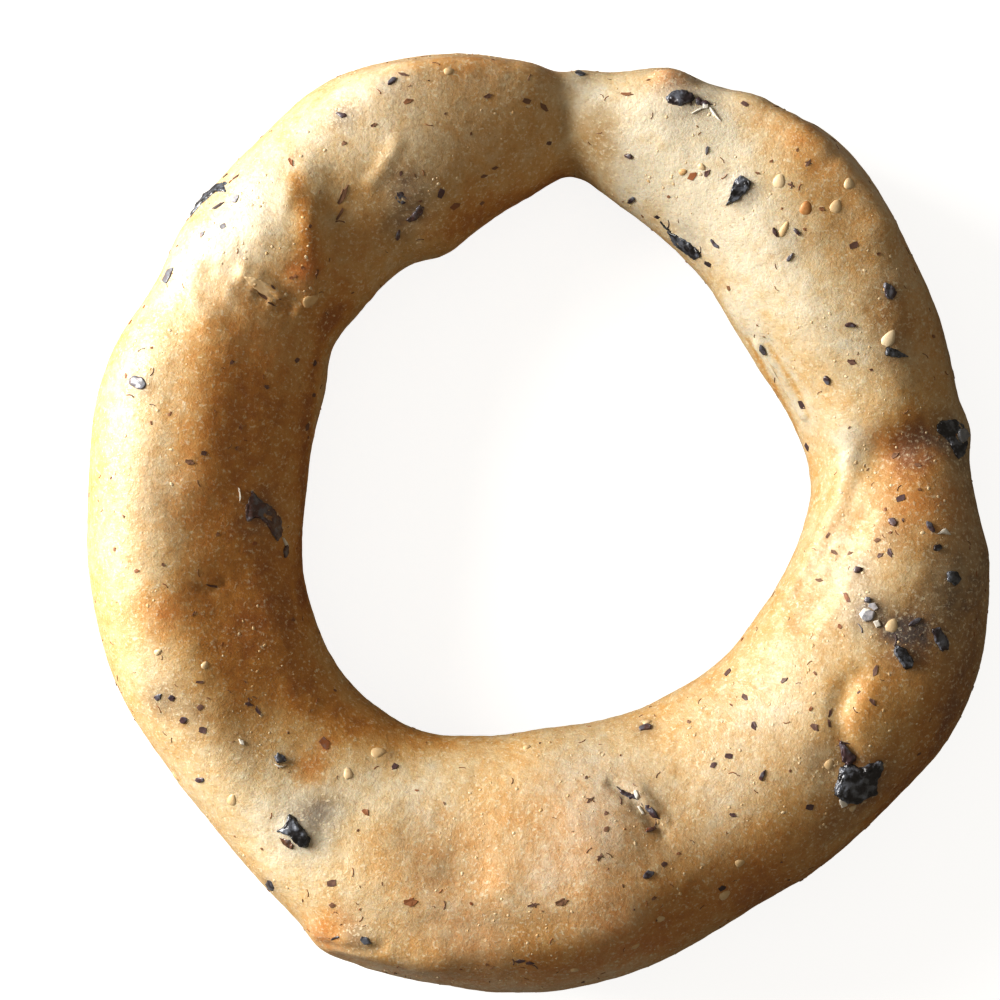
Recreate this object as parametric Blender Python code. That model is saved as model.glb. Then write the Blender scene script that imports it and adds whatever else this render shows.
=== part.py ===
"""A simit baked with chopped olives, lying flat as it came off the tray.

One rope of dough is joined into a ring. The ring and the olive bits and seeds that stand
out of its crust are one solid. Lengths are in millimetres until a mesh is made.
"""

import math
import random

import bmesh
import bpy
import numpy as np
from mathutils import Matrix, Vector, noise
from mathutils.bvhtree import BVHTree

MM = 0.001

# The rope of dough, read round the ring anticlockwise from +X:
# clock angle in degrees, radius of its inner side and radius of its outer side.
ROPE = [
    (0, 40.0, 66.4),
    (8, 41.2, 65.3),
    (20, 40.6, 66.4),
    (35, 40.0, 69.0),
    (45, 41.3, 71.0),
    (54, 43.5, 72.2),
    (63, 45.7, 70.8),
    (75, 49.2, 70.2),
    (84, 51.8, 67.9),
    (92, 48.6, 69.3),
    (100, 45.4, 71.6),
    (109, 42.5, 73.0),
    (117, 43.4, 73.0),
    (130, 41.3, 70.3),
    (140, 40.2, 68.9),
    (148, 37.4, 67.9),
    (160, 35.8, 68.9),
    (180, 35.1, 67.6),
    (200, 36.0, 67.9),
    (220, 37.0, 66.5),
    (235, 36.5, 68.8),
    (245, 35.2, 71.3),
    (253, 33.4, 71.1),
    (270, 30.9, 70.3),
    (285, 30.8, 68.3),
    (300, 32.0, 66.0),
    (308, 32.6, 66.7),
    (318, 33.6, 67.5),
    (335, 35.4, 69.8),
    (350, 38.0, 68.6),
]

# The section of the rope: it rises with its width, is widest below its middle, leans a
# little outwards at the crest, and the tray has flattened its foot.
CREST_BASE = 10.5
CREST_PER_WIDTH = 0.44
BELLY_SHARE = 0.46
FOOT_PULL = 1.32
CREST_LEAN = 3.6

# The hand's marks shape the top. They run out below the belly, between these two heights,
# given as the sine of the way round the section.
MARKS_START = -0.55
MARKS_FULL = 0.05

# How finely the crust is divided round the ring and round its section.
RING_STEPS = 156
TOP_STEPS = 20
FOOT_STEPS = 10

# Soft unevenness of hand-rolled dough.
LUMP_HEIGHT = 0.45
LUMP_SIZE = 15.0

# Creases pressed into the dough: start, end, depth and half width.
CREASES = {
    "top_pinch": ((3.2, 70.0), (4.4, 50.0), 1.5, 2.2),
    "right_waist": ((49.5, 9.5), (63.0, 15.5), 1.5, 3.0),
    "tucked_olive": ((45.8, -24.0), (44.6, -35.0), 1.0, 1.6),
    "split_skin": ((11.4, -39.4), (18.2, -43.2), 0.5, 1.2),
}

# Swells and dents of the crust: place, radius and rise, which is negative in a dent.
SWELLS = {
    "red_blister": ((19.5, 66.6), 2.6, 1.2),
    "top_olive_bump": ((5.6, 67.2), 2.4, 1.5),
    "lower_right_pillow": ((48.0, -28.5), 6.0, 1.3),
    "right_shoulder": ((53.5, -4.0), 8.0, 0.8),
    "upper_right_shoulder": ((42.0, 55.0), 10.0, 1.0),
    "right_rim_bump": ((65.6, -4.5), 2.4, 0.8),
    "right_rim_olive": ((64.2, 14.6), 2.9, 2.7),
    "lower_left_knob": ((-31.4, -62.4), 2.8, 1.6),
    "bottom_dent": ((-11.0, -48.5), 5.5, -0.9),
    "bottom_rib": ((7.5, -51.0), 6.0, 0.7),
    "left_dent": ((-44.0, -10.0), 6.0, -0.5),
}

# The end of the rope lies over the ring as a tongue with a round tip. It stands up along
# the two edges that meet at the tip, which soften away from it, and it sinks into the ring
# behind them.
TONGUE_CORNER = (-32.2, 30.4)
TONGUE_RIGHT_EDGE_HEADING = 99.0
TONGUE_LOWER_EDGE_HEADING = 158.0
TONGUE_TIP_RADIUS = 4.0
TONGUE_RISE = 1.8
TONGUE_EDGE = 2.0
TONGUE_SOFTENING = 0.25
TONGUE_FADE_START = 12.0
TONGUE_FADE_END = 32.0

# The foot of the dough stands out as a thin lip into the hole, at the ring's right.
LIP_ANGLE = 25.0
LIP_SPREAD = 17.0
LIP_STEP = 1.7
LIP_TURN = 186.0
LIP_EDGE = 14.0
STEP_START = 118.0
STEP_RUN = 40.0

# The larger bits of olive: place, length, width, heading of the length and how far it
# stands out of the crust.
OLIVES = {
    "rim_sliver": ((-49.6, 48.6), 8.6, 3.0, 47, 1.7),
    "rim_grey": ((-54.9, 35.2), 5.6, 1.9, 62, 0.5),
    "left_grey": ((-58.8, 20.4), 4.0, 3.4, 120, 0.7),
    "left_brown": ((-40.4, 1.4), 8.0, 4.8, -57, 0.7),
    "lower_left_black": ((-35.3, -45.5), 7.2, 5.8, 10, 1.2),
    "lower_left_rim": ((-39.2, -53.0), 3.4, 2.2, -60, 0.6),
    "bottom_left": ((-25.2, -61.6), 2.8, 2.2, -30, 0.6),
    "upper_left_sunken": ((-18.9, 48.2), 5.6, 4.6, 60, 0.5),
    "upper_left_purple": ((-28.4, 60.2), 3.6, 2.2, -20, 0.5),
    "top_right_shiny": ((21.4, 62.2), 6.0, 4.2, -15, 1.0),
    "upper_right_sliver": ((29.8, 49.2), 5.8, 3.0, 52, 0.9),
    "inner_edge_black": ((21.8, 41.6), 7.0, 3.2, -40, 0.8),
    "right_oval": ((52.0, 34.4), 3.6, 2.6, 110, 0.5),
    "right_glint": ((53.0, 26.2), 4.6, 3.8, -20, 1.0),
    "right_rim_black": ((62.4, 13.2), 7.4, 4.8, -66, 1.1),
    "right_outer": ((61.3, -7.3), 3.8, 3.0, -70, 0.7),
    "lower_right_pale": ((49.1, -13.2), 5.0, 4.2, -20, 0.9),
    "lower_right_gloss": ((54.2, -19.6), 4.6, 3.2, -62, 0.8),
    "lower_right_blue": ((59.1, -16.7), 4.6, 2.8, -52, 0.6),
    "largest": ((47.4, -38.6), 8.6, 7.6, 20, 1.5),
    "largest_tail": ((44.9, -33.4), 5.6, 2.6, 108, 0.8),
    "split_skin_dark": ((14.8, -41.4), 7.0, 2.2, -28, 0.6),
    "inner_low": ((15.8, -30.4), 2.8, 1.9, 10, 0.5),
    "left_low_dark": ((-38.2, -34.6), 2.8, 2.5, 40, 0.8),
    "bottom_dark": ((16.5, -51.9), 3.0, 2.2, 40, 0.5),
}

# Sesame seeds caught in the crust: place and heading of the length.
SEEDS = {
    "tongue": ((-34.0, 32.6), 25),
    "upper_right_a": ((39.9, 46.4), 80),
    "upper_right_b": ((44.0, 46.5), 70),
    "upper_right_c": ((46.1, 50.0), 95),
    "lower_left": ((-23.0, -34.4), 15),
    "beside_tail": ((43.6, -34.7), 60),
    "lower_right": ((27.6, -54.8), 40),
}
SEED_LENGTH = 2.9
SEED_WIDTH = 2.0
SEED_THICKNESS = 1.1
SEED_STANDS_OUT = 0.6
SEED_TAPER = 0.3
SEED_SIDES = 6
SEED_RINGS = 4

# A chopped bit is flatter than it is wide, and its corners are uneven. One that hangs over
# the rim, out of reach from above, is fixed to the side of the crust at this height.
CHOPPED_THICKNESS = 0.7
CHOPPED_ROUGHNESS = 0.16
RIM_HEIGHT = 14.0

CRUST_COLOUR = (0.62, 0.40, 0.19, 1.0)
CRUST_ROUGHNESS = 0.42


def clear_scene():
    """Removes the objects that the scene starts with."""
    for obj in list(bpy.data.objects):
        bpy.data.objects.remove(obj)


def smooth(share):
    """0 up to share 0, 1 from share 1, and an even S between them."""
    share = min(1.0, max(0.0, share))
    return share * share * (3 - 2 * share)


def rope_at(clock):
    """The inner and outer radius at a clock angle, on a smooth closed curve through ROPE."""
    clock %= 360
    count = len(ROPE)
    after = next((i for i, row in enumerate(ROPE) if row[0] > clock), count)
    rows = [ROPE[(after + k) % count] for k in (-2, -1, 0, 1)]
    turns = [(after + k) // count * 360 for k in (-2, -1, 0, 1)]
    angles = [row[0] + turn for row, turn in zip(rows, turns)]
    step = angles[2] - angles[1]
    t = (clock - angles[1]) / step
    found = []
    for side in (1, 2):
        y = [row[side] for row in rows]
        slope_in = (y[2] - y[0]) / (angles[2] - angles[0]) * step
        slope_out = (y[3] - y[1]) / (angles[3] - angles[1]) * step
        found.append(
            (1 + 2 * t) * (1 - t) ** 2 * y[1]
            + t * (1 - t) ** 2 * slope_in
            + t * t * (3 - 2 * t) * y[2]
            + t * t * (t - 1) * slope_out
        )
    return found


def crease_depth(place):
    """How far the creases press the crust in at a place in plan."""
    depth = 0.0
    for start, end, deepest, half_width in CREASES.values():
        a, b = Vector(start), Vector(end)
        run = b - a
        along = (place - a).dot(run) / run.length_squared
        nearest = a + run * min(1.0, max(0.0, along))
        depth += deepest * math.exp(-((place - nearest).length / half_width) ** 2)
    return depth


def swell_rise(place):
    """How far the swells lift the crust at a place in plan, less what the dents take."""
    rise = 0.0
    for centre, radius, height in SWELLS.values():
        rise += height * math.exp(-((place - Vector(centre)).length / radius) ** 2)
    return rise


def tongue_rise(place):
    """How far the end of the rope stands above the ring at a place in plan."""
    offset = place - Vector(TONGUE_CORNER)
    short = []
    for heading, side in ((TONGUE_RIGHT_EDGE_HEADING, 1), (TONGUE_LOWER_EDGE_HEADING, -1)):
        angle = math.radians(heading)
        across = Vector((-math.sin(angle), math.cos(angle))) * side
        short.append(max(0.0, TONGUE_TIP_RADIUS - offset.dot(across)))
    inside = TONGUE_TIP_RADIUS - math.hypot(*short)
    fade = 1 - smooth((offset.length - TONGUE_FADE_START) / (TONGUE_FADE_END - TONGUE_FADE_START))
    edge = TONGUE_EDGE + TONGUE_SOFTENING * offset.length
    return TONGUE_RISE * smooth(inside / edge + 0.5) * fade


def lip_step(clock, turn):
    """How far the inner wall stands back above the lip of the foot."""
    away = (clock - LIP_ANGLE + 180) % 360 - 180
    window = math.exp(-((away / LIP_SPREAD) ** 4))
    above = smooth((LIP_TURN - turn) / LIP_EDGE) * smooth((turn - STEP_START) / STEP_RUN)
    return LIP_STEP * window * above


def skin_point(clock, turn):
    """A point of the crust. Turn goes round the rope's section from its outer side, over the top."""
    inner, outer = rope_at(clock)
    crest = CREST_BASE + CREST_PER_WIDTH * (outer - inner)
    belly = BELLY_SHARE * crest
    across, up = math.cos(math.radians(turn)), math.sin(math.radians(turn))
    radius = (inner + outer) / 2 + (outer - inner) / 2 * across
    if up >= 0:
        height = belly + (crest - belly) * up
        radius += CREST_LEAN * up * up
    else:
        height = belly * (1 + FOOT_PULL * up)
    radius += lip_step(clock, turn)
    angle = math.radians(clock)
    outward = Vector((math.cos(angle), math.sin(angle), 0))
    point = outward * radius + Vector((0, 0, height))
    place = point.to_2d()
    lump = noise.noise(point / LUMP_SIZE) * LUMP_HEIGHT
    move = swell_rise(place) + tongue_rise(place) - crease_depth(place) + lump
    move *= smooth((up - MARKS_START) / (MARKS_FULL - MARKS_START))
    point += (outward * across + Vector((0, 0, up))) * move
    point.z = max(0.0, point.z)
    return point


def crust_material():
    """Glossy golden crust."""
    made = bpy.data.materials.new("crust")
    made.use_nodes = True
    shader = made.node_tree.nodes["Principled BSDF"]
    shader.inputs["Base Color"].default_value = CRUST_COLOUR
    shader.inputs["Roughness"].default_value = CRUST_ROUGHNESS
    made.diffuse_color = CRUST_COLOUR
    return made


def object_from(mesh_data, name, collection):
    """Makes a named object of a bmesh, in metres."""
    mesh = bpy.data.meshes.new(name)
    mesh_data.to_mesh(mesh)
    mesh_data.free()
    mesh.transform(Matrix.Scale(MM, 4))
    obj = bpy.data.objects.new(name, mesh)
    collection.objects.link(obj)
    return obj


def make_ring():
    """The ring of dough, as rows of points round the section, bridged all the way round."""
    turns = [180 * j / TOP_STEPS for j in range(TOP_STEPS)]
    turns += [180 + 180 * j / FOOT_STEPS for j in range(FOOT_STEPS)]
    ring = bmesh.new()
    rows = []
    for i in range(RING_STEPS):
        clock = 360 * i / RING_STEPS
        rows.append([ring.verts.new(skin_point(clock, turn)) for turn in turns])
    for i, row in enumerate(rows):
        following = rows[(i + 1) % RING_STEPS]
        for j in range(len(turns)):
            k = (j + 1) % len(turns)
            ring.faces.new((row[j], following[j], following[k], row[k]))
    bmesh.ops.recalc_face_normals(ring, faces=ring.faces)
    return object_from(ring, "simit", bpy.context.scene.collection)


def settle(piece, surface, place, heading, sink):
    """Lays a small piece on the crust at a place in plan, turned to its slope, and sinks it."""
    above = Vector((*place, 100.0)) * MM
    spot, normal, _, _ = surface.ray_cast(above, Vector((0, 0, -1)))
    if spot is None:
        beside = Vector((*place, RIM_HEIGHT)) * MM
        spot, normal, _, _ = surface.find_nearest(beside)
    turn = Matrix.Rotation(math.radians(heading), 4, "Z")
    lean = Vector((0, 0, 1)).rotation_difference(normal).to_matrix().to_4x4()
    move = Matrix.Translation(spot / MM - normal * sink)
    bmesh.ops.transform(piece, matrix=move @ lean @ turn, verts=piece.verts)


def make_olive(name, spec, surface, collection):
    """A chopped bit of olive: an angular pebble with most of it inside the dough."""
    place, length, width, heading, stands_out = spec
    thickness = CHOPPED_THICKNESS * width
    draw = random.Random(name)
    bit = bmesh.new()
    bmesh.ops.create_icosphere(bit, subdivisions=2, radius=1.0)
    for corner in bit.verts:
        corner.co *= 1 + draw.uniform(-CHOPPED_ROUGHNESS, CHOPPED_ROUGHNESS)
    size = Matrix.Diagonal((length / 2, width / 2, thickness / 2, 1))
    bmesh.ops.transform(bit, matrix=size, verts=bit.verts)
    settle(bit, surface, place, heading, thickness / 2 - stands_out)
    return object_from(bit, "olive_" + name, collection)


def make_seed(name, spec, surface, collection):
    """A sesame seed: a flat drop, pointed at one end, half buried in the crust."""
    place, heading = spec
    seed = bmesh.new()
    bmesh.ops.create_uvsphere(seed, u_segments=SEED_SIDES, v_segments=SEED_RINGS, radius=1.0)
    bmesh.ops.rotate(seed, matrix=Matrix.Rotation(math.pi / 2, 3, "Y"), verts=seed.verts)
    for corner in seed.verts:
        corner.co.y *= 1 - SEED_TAPER * corner.co.x
    size = Matrix.Diagonal((SEED_LENGTH / 2, SEED_WIDTH / 2, SEED_THICKNESS / 2, 1))
    bmesh.ops.transform(seed, matrix=size, verts=seed.verts)
    settle(seed, surface, place, heading, SEED_THICKNESS / 2 - SEED_STANDS_OUT)
    return object_from(seed, "seed_" + name, collection)


def fuse(ring, toppings):
    """Joins the toppings to the ring in one solid and removes the loose copies."""
    union = ring.modifiers.new("toppings", "BOOLEAN")
    union.operation = "UNION"
    union.operand_type = "COLLECTION"
    union.collection = toppings
    union.solver = "EXACT"
    bpy.context.view_layer.objects.active = ring
    bpy.ops.object.modifier_apply(modifier=union.name)
    for piece in list(toppings.objects):
        bpy.data.objects.remove(piece)
    bpy.data.collections.remove(toppings)


def centre(ring):
    """Puts the middle of the ring's box over the origin, with its foot at height 0."""
    corners = np.array([v.co for v in ring.data.vertices])
    middle = (corners.min(axis=0) + corners.max(axis=0)) / 2
    ring.data.transform(Matrix.Translation((-middle[0], -middle[1], 0)))


def main():
    clear_scene()
    ring = make_ring()
    surface = BVHTree.FromObject(ring, bpy.context.evaluated_depsgraph_get())
    toppings = bpy.data.collections.new("toppings")
    bpy.context.scene.collection.children.link(toppings)
    for name, spec in OLIVES.items():
        make_olive(name, spec, surface, toppings)
    for name, spec in SEEDS.items():
        make_seed(name, spec, surface, toppings)
    fuse(ring, toppings)
    centre(ring)
    ring.data.materials.clear()
    ring.data.materials.append(crust_material())
    ring.data.shade_smooth()
    ring.data.set_sharp_from_angle(angle=math.radians(40))


main()
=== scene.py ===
# %% [markdown]
# # A simit with chopped olives
#
# The real thing is one rope of yeast dough, rolled by hand, joined into a ring and baked
# till it shines. Bits of black olive, dried herb and a few sesame seeds are kneaded in.
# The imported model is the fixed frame: it gives the ring's place and form, and every piece
# below is laid on it.

# %% Load the frame
import math
import random

import bmesh
import bpy
import numpy as np
from mathutils import Matrix, Vector, noise
from mathutils.bvhtree import BVHTree


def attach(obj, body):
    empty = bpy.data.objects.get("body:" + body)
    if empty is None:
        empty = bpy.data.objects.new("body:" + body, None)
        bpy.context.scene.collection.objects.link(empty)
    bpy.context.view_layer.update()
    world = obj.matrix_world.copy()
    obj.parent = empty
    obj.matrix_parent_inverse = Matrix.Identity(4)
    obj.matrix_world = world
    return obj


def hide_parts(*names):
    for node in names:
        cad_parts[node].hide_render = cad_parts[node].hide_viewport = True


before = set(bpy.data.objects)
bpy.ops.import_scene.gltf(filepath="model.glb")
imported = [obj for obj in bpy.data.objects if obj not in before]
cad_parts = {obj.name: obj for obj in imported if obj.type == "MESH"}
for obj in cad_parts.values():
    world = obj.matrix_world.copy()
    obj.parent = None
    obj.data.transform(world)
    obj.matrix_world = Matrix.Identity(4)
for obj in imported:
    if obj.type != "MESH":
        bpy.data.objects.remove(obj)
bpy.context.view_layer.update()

MM = 0.001
ring_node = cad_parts["simit"]

# %% [markdown]
# ## The camera
#
# The photograph looks straight down from about an arm's length. A picture 1000 pixels wide
# takes in 150 mm at the widest level of the ring, and the picture's middle lies a little
# to the left of the ring's and above it. With the lens and distance settled first, a pixel
# of the photograph can be followed down onto the crust, which places the olive bits.

# %% Camera
PIXEL = 0.15 * MM
WIDEST_LEVEL = 12 * MM
DISTANCE = 900 * MM
SENSOR = 36.0
PICTURE_MIDDLE = 500
RING_MIDDLE = (538.5, 522.5)

bpy.ops.object.select_all(action="DESELECT")
eye = Vector((
    (PICTURE_MIDDLE - RING_MIDDLE[0]) * PIXEL,
    (RING_MIDDLE[1] - PICTURE_MIDDLE) * PIXEL,
    WIDEST_LEVEL + DISTANCE,
))
bpy.ops.object.camera_add(location=eye, rotation=(0, 0, 0))
camera = bpy.context.object
camera.data.sensor_width = SENSOR
camera.data.lens = SENSOR * DISTANCE / (2 * PICTURE_MIDDLE * PIXEL)
camera.data.clip_start = 0.01
bpy.context.scene.camera = camera
print("camera lens in mm:", round(camera.data.lens, 1))

# %% [markdown]
# ## The light
#
# A big window on the left, a little towards the top of the picture, lights the ring. It
# almost burns out the left flank, makes the inner right wall glow, and leaves the sides
# that face away in warm brown shade. One large soft lamp does this, with a pale room as
# fill. The floor is near white.

# %% Lamp, room and floor
WINDOW_HEADING = 161
WINDOW_ELEVATION = 17
WINDOW_DISTANCE = 0.9
WINDOW_SIZE = (0.55, 0.55)
WINDOW_POWER = 21.8
ROOM_LIGHT = 0.32
PICTURE_GAMMA = 0.8
FLOOR_GLOW = 0.88

heading = math.radians(WINDOW_HEADING)
elevation = math.radians(WINDOW_ELEVATION)
to_window = Vector((
    math.cos(heading) * math.cos(elevation),
    math.sin(heading) * math.cos(elevation),
    math.sin(elevation),
))
bpy.ops.object.light_add(type="AREA", location=to_window * WINDOW_DISTANCE)
window = bpy.context.object
window.name = "window"
window.rotation_euler = to_window.to_track_quat("Z", "Y").to_euler()
window.data.shape = "RECTANGLE"
window.data.size, window.data.size_y = WINDOW_SIZE
window.data.energy = WINDOW_POWER
window.data.color = (1.0, 0.985, 0.96)

world = bpy.data.worlds.new("room")
bpy.context.scene.world = world
world.use_nodes = True
world.node_tree.nodes["Background"].inputs["Color"].default_value = (1.0, 0.89, 0.72, 1.0)
world.node_tree.nodes["Background"].inputs["Strength"].default_value = ROOM_LIGHT
bpy.context.scene.view_settings.view_transform = "Standard"
bpy.context.scene.view_settings.gamma = PICTURE_GAMMA

bpy.ops.object.select_all(action="DESELECT")
bpy.ops.mesh.primitive_plane_add(size=3.0, location=(0, 0, -0.0002))
floor = bpy.context.object
floor.name = "floor"
floor_paint = bpy.data.materials.new("floor_paint")
floor_paint.use_nodes = True
floor_shader = floor_paint.node_tree.nodes["Principled BSDF"]
floor_shader.inputs["Base Color"].default_value = (0.3, 0.3, 0.3, 1.0)
floor_shader.inputs["Roughness"].default_value = 0.8
floor_shader.inputs["Emission Color"].default_value = (1.0, 1.0, 1.0, 1.0)
light_path = floor_paint.node_tree.nodes.new("ShaderNodeLightPath")
glow = floor_paint.node_tree.nodes.new("ShaderNodeMath")
glow.operation = "MULTIPLY"
glow.inputs[1].default_value = FLOOR_GLOW
floor_paint.node_tree.links.new(light_path.outputs["Is Camera Ray"], glow.inputs[0])
floor_paint.node_tree.links.new(glow.outputs[0], floor_shader.inputs["Emission Strength"])
floor.data.materials.append(floor_paint)

# %% [markdown]
# ## The crust: the rope of dough
#
# The crust starts as a torus. Its hoops are narrower than the finished rope's at one place
# and wider at another, so each hoop is selected, sized and moved to the section that the
# frame has at its clock angle. After that the torus is subdivided, drawn onto the frame
# with Shrinkwrap and smoothed, which takes off the frame's facets.

# %% The frame's form, merged
bpy.ops.object.select_all(action="DESELECT")
ring_node.select_set(True)
bpy.context.view_layer.objects.active = ring_node
bpy.ops.object.duplicate()
form = bpy.context.object
form.name = "form"
bpy.ops.object.mode_set(mode="EDIT")
bpy.ops.mesh.select_all(action="SELECT")
bpy.ops.mesh.remove_doubles(threshold=1e-6)
bpy.ops.object.mode_set(mode="OBJECT")
form_surface = BVHTree.FromObject(form, bpy.context.evaluated_depsgraph_get())
print("form has", len(form.data.polygons), "faces")

# %% Torus with fitted hoops
HOOPS = 70
HOOP_POINTS = 22
ROPE_RADIUS = 53 * MM
SECTION_RADIUS = 14 * MM


def section_at(clock):
    """The inner and outer radius and the crest height of the form at a clock angle."""
    outward = Vector((math.cos(clock), math.sin(clock), 0))
    side = Vector((0, 0, WIDEST_LEVEL))
    inner = form_surface.ray_cast(side, outward)[0]
    outer = form_surface.ray_cast(side + outward, -outward)[0]
    middle = (inner + outer) / 2
    crest = form_surface.ray_cast(middle + Vector((0, 0, 1)), Vector((0, 0, -1)))[0]
    return inner.xy.length, outer.xy.length, crest.z


bpy.ops.object.select_all(action="DESELECT")
bpy.ops.mesh.primitive_torus_add(
    major_segments=HOOPS, minor_segments=HOOP_POINTS,
    major_radius=ROPE_RADIUS, minor_radius=SECTION_RADIUS,
)
crust = bpy.context.object
crust.name = "crust"
bpy.ops.object.mode_set(mode="EDIT")
bpy.ops.mesh.select_all(action="DESELECT")
cage = bmesh.from_edit_mesh(crust.data)
cage.verts.ensure_lookup_table()
for i in range(HOOPS):
    clock = 2 * math.pi * i / HOOPS
    inner, outer, crest = section_at(clock)
    hoop = [cage.verts[i * HOOP_POINTS + j] for j in range(HOOP_POINTS)]
    for corner in hoop:
        corner.select = True
    start = Vector((math.cos(clock), math.sin(clock), 0)) * ROPE_RADIUS
    across = (outer - inner) / 2 / SECTION_RADIUS
    bpy.ops.transform.resize(
        value=(across, across, crest / 2 / SECTION_RADIUS),
        center_override=start,
    )
    outward = Vector((math.cos(clock), math.sin(clock), 0))
    bpy.ops.transform.translate(value=outward * ((inner + outer) / 2 - ROPE_RADIUS) + Vector((0, 0, crest / 2)))
    for corner in hoop:
        corner.select = False
bmesh.update_edit_mesh(crust.data)
bpy.ops.object.mode_set(mode="OBJECT")
print("cage has", len(crust.data.polygons), "faces")


# %% Drawn onto the form
def apply_modifier(piece, kind, **settings):
    """Adds a modifier with these settings to a piece and applies it."""
    bpy.context.view_layer.objects.active = piece
    added = piece.modifiers.new(kind.lower(), kind)
    for name, value in settings.items():
        setattr(added, name, value)
    bpy.ops.object.modifier_apply(modifier=added.name)


apply_modifier(crust, "SUBSURF", levels=1, render_levels=1)
apply_modifier(crust, "SHRINKWRAP", target=form, wrap_method="NEAREST_SURFACEPOINT")
apply_modifier(crust, "SUBSURF", levels=1, render_levels=1)
apply_modifier(crust, "SHRINKWRAP", target=form, wrap_method="NEAREST_SURFACEPOINT")
apply_modifier(crust, "SMOOTH", factor=0.5, iterations=3)
apply_modifier(crust, "SUBSURF", levels=1, render_levels=1)
bpy.data.objects.remove(form)
bpy.context.view_layer.objects.active = crust
crust.select_set(True)
bpy.ops.object.shade_smooth()
print("crust has", len(crust.data.polygons), "faces")

# %% [markdown]
# ## Folds, creases and ridges
#
# Hands leave marks in dough: the rope's end is tucked over as a tongue, two ends are
# pinched together at the top, and skin wrinkles beside a bit of olive. They are too fine
# for the frame, so they are modelled here as a sculptor would. Each is a stroke of a few
# points read off the photograph. The points of the mesh along it are selected and moved in
# or out, and proportional editing carries the mesh round them along.


# %% Strokes on the crust
def surface_of(piece):
    """A piece's surface, to cast rays at and to find nearest points on."""
    bpy.context.view_layer.update()
    return BVHTree.FromObject(piece, bpy.context.evaluated_depsgraph_get())


def under_pixel(surface, pixel, beside=False):
    """The place and normal of the surface that a pixel of the photograph shows.

    A pixel past the rim gives the nearest place on the surface or, with beside, the place
    in the air next to it at its height.
    """
    across, down = pixel[0] - PICTURE_MIDDLE, pixel[1] - PICTURE_MIDDLE
    aim = Vector((across * PIXEL, -down * PIXEL, -DISTANCE))
    spot, normal = surface.ray_cast(eye, aim.normalized())[:2]
    if spot is None:
        spot, normal = surface.find_nearest(eye + aim)[:2]
        if beside:
            spot = eye + aim * (eye.z - spot.z) / DISTANCE
    return spot, normal


def distance_to_path(points, path):
    """How far each point of an array is from the nearest place on a path of straight runs."""
    nearest = np.full(len(points), np.inf)
    for a, b in zip(path, path[1:]):
        run = b - a
        share = np.clip((points - a) @ run / (run @ run), 0, 1)
        away = np.linalg.norm(points - (a + share[:, None] * run), axis=1)
        nearest = np.minimum(nearest, away)
    return nearest


def points_of(piece):
    """The points of a piece's mesh as an array of rows."""
    rows = np.empty(len(piece.data.vertices) * 3, np.float32)
    piece.data.vertices.foreach_get("co", rows)
    return rows.reshape(-1, 3).astype(float)


def stroke(piece, pixels, lift, reach, push=(0, 0, 0), grip=0.45 * MM):
    """Moves a piece's skin along a stroke of pixels: out by lift, or in where it is negative, and by push."""
    surface = surface_of(piece)
    spots = [under_pixel(surface, pixel) for pixel in pixels]
    path = [np.array(spot) for spot, _ in spots]
    outward = sum((normal for _, normal in spots), Vector()).normalized()
    held = distance_to_path(points_of(piece), path) < grip
    for kind in (piece.data.polygons, piece.data.edges):
        kind.foreach_set("select", np.zeros(len(kind), bool))
    piece.data.vertices.foreach_set("select", held)
    bpy.context.view_layer.objects.active = piece
    bpy.ops.object.mode_set(mode="EDIT")
    bpy.ops.transform.translate(
        value=outward * lift + Vector(push),
        use_proportional_edit=True,
        proportional_edit_falloff="SMOOTH",
        proportional_size=reach,
    )
    bpy.ops.object.mode_set(mode="OBJECT")
    return int(held.sum())


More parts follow.
